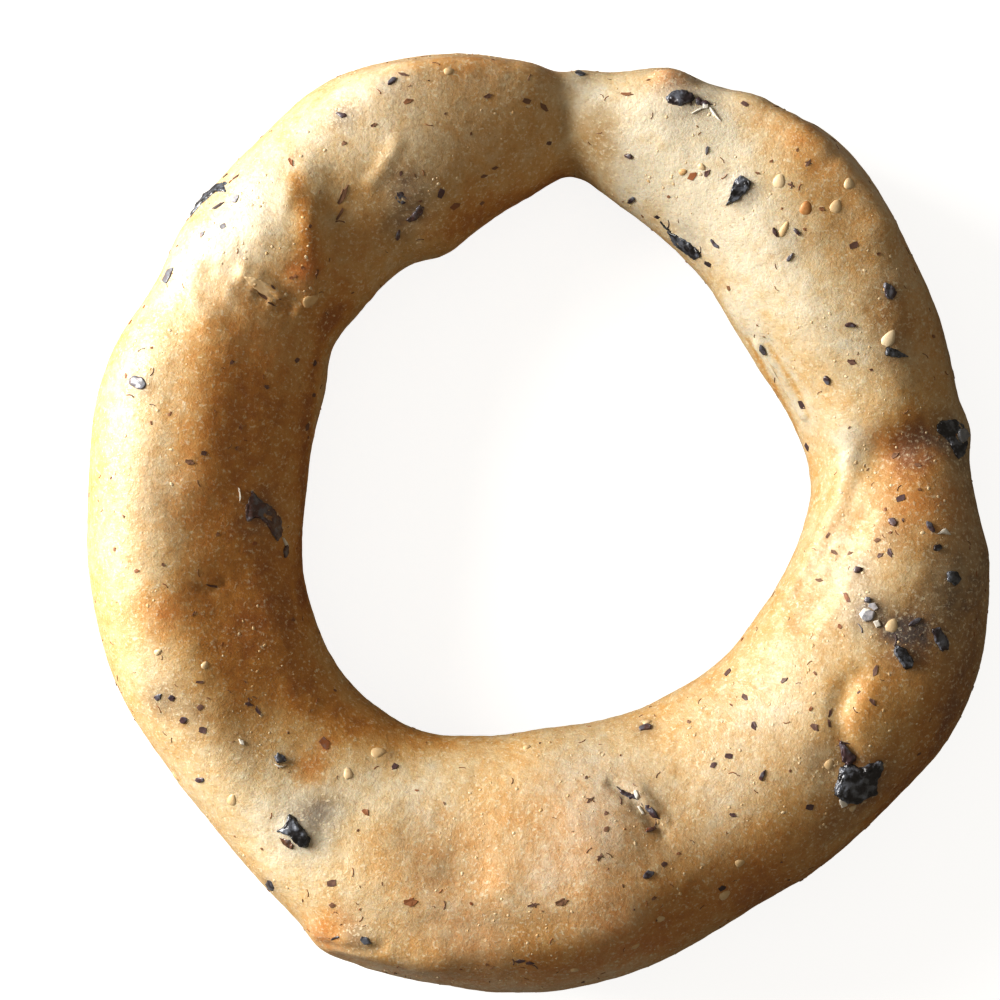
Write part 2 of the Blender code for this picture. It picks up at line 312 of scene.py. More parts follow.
# %% The marks of the hand
FOLDS = {  # pixels of the stroke, lift in mm and reach in mm
    "tongue_lip": ([(243, 274), (262, 282), (280, 297)], 0.7, 1.9),
    "tongue_crack": ([(259, 293), (272, 301), (290, 309)], -0.9, 1.3),
    "tongue_lower_edge": ([(212, 272), (232, 279), (256, 293)], -0.4, 2.4),
    "tongue_edge": ([(308, 212), (310, 224), (313, 240), (316, 265)], 0.8, 2.8),
    "tongue_face": ([(290, 200), (294, 225), (296, 250)], 0.5, 3.4),
    "tongue_top": ([(306, 178), (314, 196)], 0.45, 4.0),
    "left_shoulder": ([(212, 330), (208, 400), (206, 480)], 0.5, 6.0),
    "tongue_edge_foot": ([(308, 226), (312, 246), (312, 270)], 0.8, 3.4),
    "tongue_middle": ([(262, 225), (270, 248), (286, 262)], 0.3, 3.8),
    "tongue_tip": ([(300, 282), (308, 292)], 0.6, 3.0),
    "tongue_tip_side": ([(322, 276), (320, 300)], -0.5, 1.5),
    "glossy_ridge": ([(372, 182), (384, 168), (398, 150)], 0.35, 1.5),
    "top_pinch": ([(562, 70), (566, 120), (567, 170)], -0.6, 3.2),
    "waist": ([(885, 456), (912, 450), (945, 442)], -0.7, 5.0),
    "inner_lip": ([(757, 345), (773, 368), (790, 392), (803, 415)], 0.5, 1.1),
    "inner_lip_groove": ([(770, 345), (787, 369), (803, 393)], -0.25, 1.8),
    "top_blister": ([(660, 76), (682, 78)], 0.8, 2.6),
    "right_flank": ([(897, 262), (918, 325), (930, 385)], -0.6, 6.0),
    "inner_ridge": ([(848, 465), (840, 500), (822, 535), (806, 566), (782, 602)], 0.7, 2.4),
    "inner_ridge_valley": ([(862, 520), (846, 552), (828, 588), (802, 622)], -0.5, 3.0),
    "pillow_edge": ([(862, 674), (846, 688), (838, 710), (838, 735), (846, 752)], -0.35, 2.4),
    "pillow_crest": ([(868, 690), (858, 704), (855, 724)], 0.3, 3.0),
    "bottom_shoulder": ([(370, 945), (430, 956), (500, 954), (570, 947), (625, 928)], 1.0, 6.5),
    "bottom_crest": ([(610, 840), (630, 890)], 0.8, 12.0),
    "bottom_left_shoulder": ([(350, 946), (392, 958), (440, 965)], 0.7, 4.5),
    "upper_right_shoulder": ([(745, 112), (800, 146), (846, 192), (874, 232)], 1.1, 5.5),
    "top_shoulder": ([(405, 80), (470, 76), (540, 88)], 0.9, 4.5),
    "left_inner_shoulder": ([(228, 590), (240, 650), (268, 705)], -0.5, 7.0),
    "sunken_olive": ([(414, 185), (418, 205), (408, 232)], -0.25, 4.0),
    "rim_seam": ([(906, 788), (872, 818), (828, 846)], -0.4, 1.6),
    "split_skin": ([(612, 784), (636, 801), (660, 822)], -0.4, 1.0),
    "split_skin_rim": ([(640, 790), (650, 799), (664, 812)], 0.3, 1.0),
    "dimple": ([(456, 856), (478, 862)], -0.25, 4.0),
    "knob_crease": ([(322, 944), (350, 950), (382, 948)], -0.4, 1.3),
    "upper_left_waist": ([(205, 268), (214, 300), (230, 318)], -0.3, 3.0),
    "rolled_line": ([(206, 585), (220, 588), (228, 580)], -0.35, 0.8),
}
for name, (pixels, lift, reach) in FOLDS.items():
    held = stroke(crust, pixels, lift * MM, reach * MM)
print(len(FOLDS), "strokes, the last on", held, "points")

# %% The crest pushed further out
PUSH_REACH = 11 * MM
CRESTS = {  # pixels along the crest, heading of the push in degrees and its length in mm
    "lower_left": ([(198, 540), (203, 620), (228, 700), (290, 775)], 205, 1.2),
    "bottom": ([(440, 860), (520, 885), (600, 880), (660, 850)], 275, 2.4),
    "top": ([(390, 104), (460, 98), (530, 110)], 98, 2.6),
    "upper_right": ([(735, 120), (800, 165), (855, 225), (885, 290)], 42, 2.6),
}
for name, (pixels, heading_out, length) in CRESTS.items():
    turn = math.radians(heading_out)
    push = Vector((math.cos(turn), math.sin(turn), 0)) * length * MM
    held = stroke(crust, pixels, 0.0, PUSH_REACH, push)
print(len(CRESTS), "stretches of the crest pushed out, the last on", held, "points")

# %% [markdown]
# ## Uneven skin
#
# Under the glaze the skin is never even: slow swells as wide as a finger, pits and pimples
# of a few millimetres, and a fine grain. Each is a Displace modifier with a cloud texture
# of that size. Only what is finer than a millimetre is left to the material's bump.


# %% Displace with clouds
def roughen(piece, name, size, height, depth=1):
    """Displaces a piece by soft clouds of this size and height, both in millimetres."""
    clouds = bpy.data.textures.new(name, "CLOUDS")
    clouds.noise_scale = size * MM
    clouds.noise_depth = depth
    apply_modifier(piece, "DISPLACE", texture=clouds, texture_coords="LOCAL", strength=height * MM)


roughen(crust, "swells", 11.0, 0.4)
roughen(crust, "pimples", 2.8, 0.15)
roughen(crust, "grain", 1.2, 0.12)

# %% [markdown]
# ## Where the oven browned it, and painted shade and light
#
# A baked crust has no single colour. It is pale cream where it was pinched or shaded, gold
# along the top, orange-brown where it bulged towards the heat, and purple-grey where olive
# juice has run. An even noise can't put these where they are, so each is painted on the
# mesh: soft spots with a place, a width and a strength, added up in a number that every
# point of the mesh carries. Some spots of the browning and of the stains are painted shade,
# which darkens shadows, creases and sides that face away from the window, and some bands of
# negative browning along the rims are painted light. The material reads the three numbers
# as attributes.


# %% Paint a number on the crust
def paint(piece, name, spots, start=0.0):
    """Stores a number at each point of a piece, from soft spots of pixel, width in mm and strength.

    A list of pixels in place of one gives a band along them.
    """
    surface = surface_of(piece)
    points = points_of(piece)
    amount = np.full(len(points), start)
    for pixels, width, strength in spots:
        if isinstance(pixels, list):
            away = distance_to_path(points, [np.array(under_pixel(surface, pixel)[0]) for pixel in pixels])
        else:
            away = np.linalg.norm(points - np.array(under_pixel(surface, pixels)[0]), axis=1)
        amount += strength * np.exp(-((away / (width * MM)) ** 2))
    layer = piece.data.attributes.new(name, "FLOAT", "POINT")
    layer.data.foreach_set("value", np.clip(amount, 0.0, 1.0))
    return amount


# %% Browning, flush and stains, with painted shade and light
GOLDEN = 0.45
# Real browning, plus spots of painted shade where shadows fall and bands of painted light along some rims
BROWNING_AND_SHADING = [  # pixel, width in mm and strength, which is negative where the crust is pale
    # The spots from (232, 360) to (290, 600) brown the inner side of the left arm, which lies in shade: partly painted
    # shade
    ((232, 360), 8, 0.2), ((238, 440), 8, 0.22), ((235, 520), 8, 0.16), ((250, 610), 9, 0.22),
    ((285, 420), 7, 0.15), ((290, 600), 8, 0.15), ((285, 500), 7, 0.12), ((165, 615), 4, 0.2),
    ((300, 265), 4, 0.3), ((350, 270), 6, 0.15), ((470, 215), 8, 0.15), ((540, 190), 6, 0.25),
    ((800, 130), 8, 0.08), ((860, 200), 8, 0.05), ((905, 290), 7, 0.05), ((930, 380), 6, 0.1),
    ((910, 505), 5, 0.15), ((930, 700), 8, 0.2), ((890, 790), 8, 0.15),
    ((760, 890), 7, 0.2), ((660, 945), 7, 0.25), ((560, 975), 7, 0.3), ((450, 980), 7, 0.2),
    ((330, 925), 3, 0.3), ((470, 65), 5, 0.08), ((310, 768), 3, 0.3), ((480, 790), 8, 0.1),
    ((690, 140), 11, -0.55), ((640, 190), 7, -0.25), ((730, 230), 9, -0.35), ((790, 290), 9, -0.25),
    ((850, 350), 8, -0.2), ((850, 440), 4, -0.4), ((360, 105), 9, -0.25), ((300, 160), 9, -0.25),
    ((250, 220), 9, -0.35), ((190, 280), 9, -0.3), ((165, 380), 8, -0.25), ((155, 480), 8, -0.25),
    ((155, 560), 8, -0.2), ((430, 130), 8, -0.15), ((160, 680), 8, -0.2), ((220, 790), 9, -0.25),
    ((300, 820), 9, -0.35), ((380, 790), 8, -0.2), ((430, 850), 8, -0.15), ((560, 870), 9, -0.15),
    ((600, 760), 8, -0.15), ((720, 800), 10, -0.25), ((790, 700), 8, -0.15), ((340, 915), 6, -0.2),
    ((870, 600), 8, -0.25), ((840, 560), 5, -0.1), ((830, 790), 5, -0.2), ((590, 90), 4, -0.3),
    ((950, 440), 5, -0.2), ((940, 600), 6, -0.15),
    # These two bands darken the shaded inner side of the left arm: partly painted shade
    ([(225, 320), (236, 360), (232, 440), (230, 520), (248, 620), (280, 690)], 7, 0.09),
    ([(290, 360), (285, 450), (280, 560), (300, 650), (340, 710)], 6, 0.06),
    # This band darkens the outer bottom right, which faces away from the window: partly painted shade
    ([(560, 945), (640, 930), (720, 890), (800, 830), (850, 790)], 6, 0.22),
    ([(380, 855), (450, 862), (500, 850)], 7, 0.15), ([(400, 66), (470, 60), (550, 72)], 2.5, 0.12),
    # The spots at (930, 610) and (910, 640) are painted shade round the olive bits on the right
    ([(188, 460), (190, 520), (200, 600)], 3.5, 0.05), ((930, 610), 7, 0.3), ((910, 640), 5, 0.3),
    ([(745, 110), (800, 140), (850, 190), (890, 250)], 4, 0.08),
    ([(298, 185), (303, 212), (309, 240), (311, 262)], 1.8, 0.4), ((235, 712), 5, 0.2),
    ([(440, 800), (450, 900)], 8, -0.06), ([(560, 760), (590, 850), (580, 940)], 10, -0.06),
    ((235, 810), 6, 0.1), ((330, 190), 5, 0.2),
    # The band from (460, 225) to (560, 178) darkens the shaded inner edge of the top arm, partly as painted shade. The
    # spot at (915, 446) is a painted shadow in the waist's dimple, cast by the olive bit beside it
    ([(460, 225), (510, 205), (560, 178)], 3, 0.25), ((915, 446), 4.5, 0.8), ((650, 150), 9, -0.25), ((450, 780), 6, -0.25), ((520, 880), 12, -0.15), ((420, 920), 9, -0.12),
    # The spots at (335, 312) and (888, 322) and the band from (300, 690) to (430, 738) darken shaded inner edges and
    # places by olive bits: partly painted shade
    ((335, 312), 4, 0.3), ((888, 322), 4, 0.25), ((590, 790), 8, -0.2), ((235, 660), 6, 0.2), ([(300, 690), (350, 725), (430, 738)], 4, 0.3),
    # This narrow band darkens the shaded inner edge of the left arm: partly painted shade
    ([(330, 320), (306, 420), (303, 520), (306, 600)], 2.0, 0.35),
    # This band darkens the outer lower right, which faces away from the window: partly painted shade
    ([(975, 620), (960, 700), (920, 770), (870, 830), (760, 900)], 5, 0.35),
    # This band is the painted shadow that the pinch casts on the inner side to its right
    ([(600, 130), (625, 170), (660, 215)], 3, 0.2), ((860, 360), 10, -0.1),
    # This thin band darkens the crease beside the inner lip: partly painted shade
    ([(748, 340), (766, 374), (786, 407), (799, 437)], 0.7, 0.3),
    ([(735, 310), (770, 360), (800, 410)], 3.5, -0.4), ((740, 700), 8, -0.15), ((290, 860), 6, -0.15),
    ([(815, 440), (820, 500), (800, 560)], 6, -0.1), ((695, 190), 10, -0.15),
    # These two bands make the top rim and the upper right rim paler: painted light, for the light the rims catch
    ([(400, 74), (470, 68), (550, 82)], 4, -0.15), ([(850, 160), (885, 215), (905, 270)], 5, -0.2),
    # This band makes the bottom rim paler: painted light, for the light the rim catches
    ([(380, 968), (450, 982), (560, 984), (640, 962)], 3, -0.3), ((960, 640), 8, -0.25),
    ([(200, 330), (190, 420), (185, 520), (200, 640)], 8, 0.08),
    # This thin band is painted shade in the crease beside the inner lip
    ([(768, 345), (783, 368), (797, 392), (808, 415)], 0.6, 0.4),
    ([(640, 915), (600, 935), (560, 945)], 3, -0.2), ([(880, 690), (870, 730)], 4, 0.15),
]
FLUSH = [  # the same for places that baked orange-red
    ((303, 276), 2.6, 0.7), ((672, 73), 3.0, 0.8), ((165, 612), 3.2, 0.5), ((320, 935), 3.0, 0.7),
    ((190, 500), 6, 0.2), ((915, 510), 5, 0.35), ((880, 440), 2.5, 0.4), ((950, 490), 3, 0.3),
    ((810, 130), 6, 0.15), ((470, 62), 5, 0.12), ((310, 768), 2.5, 0.4), ((325, 745), 1.2, 0.8),
    ((340, 918), 2.5, 0.4), ((740, 880), 6, 0.2), ((205, 420), 5, 0.2),
    ([(190, 470), (190, 520), (200, 600)], 3.0, 0.15),
    ([(240, 300), (220, 420), (220, 560), (245, 690)], 8, 0.1),
    ([(420, 925), (520, 940), (620, 925), (760, 850)], 8, 0.12), ((590, 840), 12, 0.36), ((440, 860), 8, 0.28),
    ([(250, 170), (330, 100)], 7, 0.06),
    ((430, 120), 12, 0.1), ((500, 140), 9, 0.1), ((340, 240), 8, 0.12), ((245, 340), 8, 0.25),
    ([(850, 190), (890, 250), (920, 330)], 7, 0.15), ((750, 680), 8, 0.14), ((835, 550), 6, 0.16),
    ((612, 925), 5, 0.3), ((475, 945), 6, 0.3), ((960, 520), 5, 0.2), ((110, 480), 8, 0.1),
    ([(720, 800), (780, 760), (830, 820)], 6, 0.1), ([(530, 870), (540, 800)], 6, 0.08),
    ([(350, 960), (450, 980), (560, 980), (650, 950)], 5, 0.4), ([(400, 70), (470, 64), (550, 76)], 4, 0.1),
    ([(300, 180), (306, 210), (313, 240), (315, 265)], 1.4, 0.2), ((296, 268), 2.0, 0.3),
    ([(390, 64), (470, 58), (550, 70)], 2.0, 0.15), ([(750, 108), (800, 135), (845, 180)], 3.0, 0.12),
]
# Olive juice stains, and spots of painted shade in the same grey colour
STAINS_AND_SHADE = [  # the same for olive juice in the crust
    ((402, 178), 3.4, 0.25), ((414, 198), 3.6, 0.65), ((402, 225), 3.0, 0.45), ((138, 383), 2.2, 0.4), ((265, 515), 3.4, 0.45),
    ((322, 812), 3.0, 0.5), ((296, 826), 3.6, 0.4), ((162, 700), 3.2, 0.4), ((200, 715), 2.6, 0.35),
    ((342, 115), 2.2, 0.5), ((392, 82), 2.2, 0.3), ((690, 100), 4.2, 0.35), ((740, 190), 2.6, 0.4),
    ((683, 240), 3.0, 0.35), ((890, 290), 1.8, 0.4), ((893, 345), 2.6, 0.4), ((950, 435), 3.6, 0.6),
    # The spots at (905, 640) and (935, 615) are partly painted shade round the olive bits, and the one at (915, 448) is
    # a painted shadow in the waist's dimple
    ((868, 612), 3.4, 0.65), ((905, 640), 4.2, 0.8), ((935, 615), 4.5, 0.5), ((915, 448), 4.5, 0.35), ([(965, 470), (975, 540), (978, 600)], 4, 0.25),
    # The band from (600, 120) to (622, 165) is the painted shadow of the pinch, and the spot at (888, 320) is partly
    # painted shade
    ([(965, 560), (975, 620), (965, 690)], 6, 0.15), ([(830, 830), (870, 800), (900, 770)], 3, 0.2), ([(600, 120), (622, 165)], 3, 0.2), ((888, 320), 3.5, 0.25),
    # The band along the right rim is painted shade: it greys the side that faces away from the window
    ([(958, 350), (978, 500), (978, 600), (955, 710)], 6, 0.22), ((950, 590), 4.0, 0.3), ((858, 570), 2.4, 0.4),
    ((855, 780), 5.4, 0.4), ((815, 755), 2.6, 0.3), ((640, 800), 3.4, 0.35), ((645, 728), 1.8, 0.35),
    ((890, 535), 3.0, 0.25), ((950, 560), 3.0, 0.3), ((240, 745), 2.4, 0.25), ((355, 938), 2.6, 0.4),
    ((270, 885), 2.0, 0.4), ((790, 240), 3.0, 0.25), ((212, 205), 3.2, 0.3), ((580, 75), 2.2, 0.4),
]
amount = paint(crust, "browning_and_shading", BROWNING_AND_SHADING, GOLDEN)
paint(crust, "flush", FLUSH)
paint(crust, "stain_and_shade", STAINS_AND_SHADE)
print("mean browning", round(float(np.clip(amount, 0, 1).mean()), 2))

# %% [markdown]
# ## Shader helpers
#
# Every material here needs soft mottling at its own scale. It is a node group with named
# sockets, built once. A group puts out only masks and colours. The Principled shader stays
# in the material.


# %% Node helpers
def add_node(tree, kind, **settings):
    """A node of this kind with its settings made."""
    node = tree.nodes.new(kind)
    for name, value in settings.items():
        setattr(node, name, value)
    return node


def wire(tree, source, target):
    """Joins an output socket to an input socket, or sets the input to a plain value."""
    if isinstance(source, bpy.types.NodeSocket):
        tree.links.new(source, target)
    else:
        target.default_value = source


def maths(tree, operation, a, b=0.0, clamp=False):
    """The result of a Math node on two sockets or numbers."""
    node = add_node(tree, "ShaderNodeMath", operation=operation, use_clamp=clamp)
    wire(tree, a, node.inputs[0])
    wire(tree, b, node.inputs[1])
    return node.outputs[0]


def blend_colour(tree, share, a, b, mode="MIX"):
    """Colour a turned towards colour b by a share, each a socket or a plain colour."""
    node = add_node(tree, "ShaderNodeMix", data_type="RGBA", blend_type=mode)
    wire(tree, share, node.inputs["Factor"])
    wire(tree, a, node.inputs[6])
    wire(tree, b, node.inputs[7])
    return node.outputs[2]


def ease(tree, value, low, high, out_low=0.0, out_high=1.0):
    """Spreads the range low to high of a value smoothly over out_low to out_high."""
    node = add_node(tree, "ShaderNodeMapRange", interpolation_type="SMOOTHSTEP")
    for name, given in (
        ("Value", value), ("From Min", low), ("From Max", high), ("To Min", out_low), ("To Max", out_high),
    ):
        wire(tree, given, node.inputs[name])
    return node.outputs["Result"]


def cloud(tree, where, scale, detail=3.0, roughness=0.5):
    """A soft noise of about 0 to 1 over a place socket. Scale is in waves a metre."""
    node = add_node(tree, "ShaderNodeTexNoise")
    wire(tree, where, node.inputs["Vector"])
    wire(tree, scale, node.inputs["Scale"])
    wire(tree, detail, node.inputs["Detail"])
    wire(tree, roughness, node.inputs["Roughness"])
    return node.outputs["Fac"]


def new_group(name, inputs, outputs):
    """An empty shader group with these float inputs and float or colour outputs."""
    group = bpy.data.node_groups.new(name, "ShaderNodeTree")
    for label, value in inputs.items():
        kind = "NodeSocketVector" if value is None else "NodeSocketFloat"
        socket = group.interface.new_socket(name=label, in_out="INPUT", socket_type=kind)
        if value is not None:
            socket.default_value = value
    for label in outputs:
        group.interface.new_socket(name=label, in_out="OUTPUT", socket_type="NodeSocketFloat")
    return group, group.nodes.new("NodeGroupInput"), group.nodes.new("NodeGroupOutput")


# %% The mottle group
def make_mottle_group():
    """Soft mottling at two scales, put out as a number from about 0 to 1."""
    group, given, result = new_group(
        "mottle", {"Place": None, "Scale": 100.0, "Contrast": 1.0}, ("Mask",),
    )
    wide = cloud(group, given.outputs["Place"], given.outputs["Scale"], 2.0)
    fine = cloud(group, given.outputs["Place"], maths(group, "MULTIPLY", given.outputs["Scale"], 4.3), 3.0, 0.6)
    both = maths(group, "ADD", maths(group, "MULTIPLY", wide, 0.6), maths(group, "MULTIPLY", fine, 0.4))
    around = maths(group, "MULTIPLY", maths(group, "SUBTRACT", both, 0.5), given.outputs["Contrast"])
    wire(group, maths(group, "ADD", around, 0.5, clamp=True), result.inputs["Mask"])
    return group


mottle_group = make_mottle_group()


def use_group(tree, group, **values):
    """Places a group in a material and sets its inputs."""
    node = add_node(tree, "ShaderNodeGroup", node_tree=group)
    for name, value in values.items():
        wire(tree, value, node.inputs[name])
    return node


print("group:", mottle_group.name)

# %% [markdown]
# ## The crust's finish
#
# The skin is thin, shiny and a little translucent, and mottled at every scale. The painted
# browning, which holds painted shade and painted light as well, is disturbed by two sizes
# of mottling before it picks a colour from a ramp of cream, gold, orange-brown and brown. A
# fine grain then raises cream pimples between brown pits, in colour and in bump alike, so
# that highlights break up into a grainy sparkle.


# %% Crust material
def attribute(tree, name):
    """The number that was painted on the mesh under this name."""
    return add_node(tree, "ShaderNodeAttribute", attribute_name=name).outputs["Fac"]


def new_material(name):
    """A material with its node tree, its Principled shader and the object's own coordinates."""
    made = bpy.data.materials.new(name)
    made.use_nodes = True
    tree = made.node_tree
    place = add_node(tree, "ShaderNodeTexCoord").outputs["Object"]
    return made, tree, tree.nodes["Principled BSDF"], place


CRUST_RAMP = [  # browning and colour
    (0.0, (0.695, 0.63, 0.495)),
    (0.25, (0.65, 0.51, 0.31)),
    (0.5, (0.60, 0.38, 0.155)),
    (0.75, (0.52, 0.25, 0.056)),
    (1.0, (0.35, 0.135, 0.03)),
]


def ramp(tree, value, stops):
    """A colour ramp over a value, with stops of position and colour."""
    node = add_node(tree, "ShaderNodeValToRGB")
    elements = node.color_ramp.elements
    while len(elements) < len(stops):
        elements.new(0.5)
    for element, (position, colour) in zip(elements, stops):
        element.position = position
        element.color = (*colour, 1.0)
    wire(tree, value, node.inputs["Fac"])
    return node.outputs["Color"]


CREAM = (0.79, 0.70, 0.52, 1.0)
PIT = (0.33, 0.18, 0.075, 1.0)
FLUSHED = (0.60, 0.235, 0.07, 1.0)
# This grey colour serves the olive juice stains and painted shade alike
OLIVE_JUICE_AND_SHADE = (0.13, 0.10, 0.09, 1.0)
TORN_FLESH = (0.62, 0.57, 0.53, 1.0)

crust_paint, tree, shader, place = new_material("crust")
broad = use_group(tree, mottle_group, Place=place, Scale=120.0, Contrast=2.0).outputs["Mask"]
fine = use_group(tree, mottle_group, Place=place, Scale=520.0, Contrast=2.4).outputs["Mask"]
grain = cloud(tree, place, 1500.0, 4.0, 0.75)
clump = maths(tree, "MULTIPLY", maths(tree, "SUBTRACT", broad, 0.5), 0.14)
beads = maths(tree, "ADD", cloud(tree, place, 1650.0, 1.0, 0.5), clump)
uneven = maths(tree, "ADD", maths(tree, "MULTIPLY", maths(tree, "SUBTRACT", broad, 0.5), 0.28),
               maths(tree, "MULTIPLY", maths(tree, "SUBTRACT", fine, 0.5), 0.24))
# The browning number holds real browning, painted shade and painted light
browned_and_shaded = maths(tree, "ADD", attribute(tree, "browning_and_shading"), uneven, clamp=True)
colour = ramp(tree, browned_and_shaded, CRUST_RAMP)
flushed = maths(tree, "MULTIPLY", attribute(tree, "flush"), ease(tree, fine, 0.1, 0.9, 0.5, 1.0))
colour = blend_colour(tree, flushed, colour, FLUSHED)
# The stain mask turns the crust grey: olive juice, and in some spots painted shade
stain_and_shade = maths(tree, "MULTIPLY", attribute(tree, "stain_and_shade"), ease(tree, broad, 0.2, 0.8, 0.6, 1.4), clamp=True)
colour = blend_colour(tree, stain_and_shade, colour, OLIVE_JUICE_AND_SHADE)
torn = maths(tree, "MULTIPLY", attribute(tree, "stain_and_shade"), ease(tree, grain, 0.54, 0.68, 0.0, 0.6), clamp=True)
colour = blend_colour(tree, torn, colour, TORN_FLESH)
colour = blend_colour(tree, ease(tree, grain, 0.46, 0.34, 0.0, 0.32), colour, PIT)
colour = blend_colour(tree, ease(tree, grain, 0.54, 0.66, 0.0, 0.6), colour, CREAM)
colour = blend_colour(tree, ease(tree, beads, 0.61, 0.75, 0.0, ease(tree, browned_and_shaded, 0.4, 0.85, 0.65, 0.2)), colour, CREAM)
wire(tree, colour, shader.inputs["Base Color"])
wire(tree, ease(tree, grain, 0.35, 0.65, 0.48, 0.32), shader.inputs["Roughness"])
bump = add_node(tree, "ShaderNodeBump")
bump.inputs["Strength"].default_value = 0.45
bump.inputs["Distance"].default_value = 0.00035
wire(tree, grain, bump.inputs["Height"])
wire(tree, bump.outputs["Normal"], shader.inputs["Normal"])
shader.inputs["Subsurface Weight"].default_value = 0.1
shader.inputs["Subsurface Radius"].default_value = (1.0, 0.5, 0.2)
shader.inputs["Subsurface Scale"].default_value = 0.001
crust.data.materials.append(crust_paint)
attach(crust, "root")
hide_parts("simit")
print("crust material has", len(tree.nodes), "nodes")

# %% [markdown]
# ## Bits of black olive
#
# The olives were chopped, so a bit has flat sides and sharp corners, but its skin has
# shrivelled in the oven into fine ridges that glint. A bit is made as from a slice: a flat
# outline, read off the photograph and laid on the crust, is extruded through the crust's
# surface, bevelled and subdivided, and then creased by a ridged cloud texture. The bits
# that show best have their own outline. The smaller ones get an uneven one.


# %% One bit from its outline
crust_surface = surface_of(crust)
creases = bpy.data.textures.new("creases", "CLOUDS")
creases.noise_type = "HARD_NOISE"
creases.noise_scale = 1.3 * MM
creases.noise_depth = 2


def tone_piece(piece, tone):
    """Stores one tone at every point of a piece, which its material reads."""
    layer = piece.data.attributes.new("tone", "FLOAT", "POINT")
    layer.data.foreach_set("value", np.full(len(piece.data.vertices), tone))


def chopped(outline, height, tone, sink=0.5, levels=3, crumple=0.5):
    """A bit of olive from its outline in pixels, which stands height mm out of the crust."""
    spots = [under_pixel(crust_surface, pixel, beside=True) for pixel in outline]
    normal = sum((n for _, n in spots), Vector()).normalized()
    middle = sum((s for s, _ in spots), Vector()) / len(spots)
    size = max((s - middle).length for s, _ in spots)
    bpy.ops.object.select_all(action="DESELECT")
    bpy.ops.mesh.primitive_circle_add(vertices=len(spots), radius=size, fill_type="NGON")
    bit = bpy.context.object
    bpy.ops.object.mode_set(mode="EDIT")
    bpy.ops.mesh.select_all(action="DESELECT")
    slice_mesh = bmesh.from_edit_mesh(bit.data)
    for corner, (spot, _) in zip(slice_mesh.verts, spots):
        corner.select = True
        bpy.ops.transform.translate(value=spot - normal * sink * MM - corner.co)
        corner.select = False
    bpy.ops.mesh.select_all(action="SELECT")
    bpy.ops.mesh.extrude_region_move(TRANSFORM_OT_translate={"value": normal * (sink + height) * MM})
    bpy.ops.transform.resize(value=(0.88, 0.88, 0.88), center_override=middle + normal * height * MM)
    bpy.ops.mesh.select_all(action="SELECT")
    bpy.ops.mesh.normals_make_consistent(inside=False)
    bpy.ops.object.mode_set(mode="OBJECT")
    apply_modifier(bit, "BEVEL", width=0.1 * size, segments=1, limit_method="NONE")
    apply_modifier(bit, "SUBSURF", levels=levels, render_levels=levels)
    apply_modifier(bit, "DISPLACE", texture=creases, texture_coords="LOCAL", strength=crumple * MM, mid_level=0.6)
    bpy.ops.object.shade_smooth()
    tone_piece(bit, tone)
    return bit


def uneven_outline(pixel, length, width, heading, corners, draw):
    """The pixels of an uneven outline of this length and width in mm round a pixel."""
    turn = math.radians(heading)
    found = []
    for k in range(corners):
        angle = 2 * math.pi * (k + draw.uniform(-0.25, 0.25)) / corners
        reach = draw.uniform(0.8, 1.15) / 2 * MM / PIXEL
        along, across = length * reach * math.cos(angle), width * reach * math.sin(angle)
        found.append((
            pixel[0] + along * math.cos(turn) - across * math.sin(turn),
            pixel[1] - along * math.sin(turn) - across * math.cos(turn),
        ))
    return found


def join_all(pieces, name):
    """Joins pieces into the first one, under a name."""
    bpy.ops.object.select_all(action="DESELECT")
    for piece in pieces:
        piece.select_set(True)
    bpy.context.view_layer.objects.active = pieces[0]
    bpy.ops.object.join()
    pieces[0].name = name
    print(name, "has", len(pieces), "bits and", sum(len(f.vertices) - 2 for f in pieces[0].data.polygons), "triangles")
    return pieces[0]


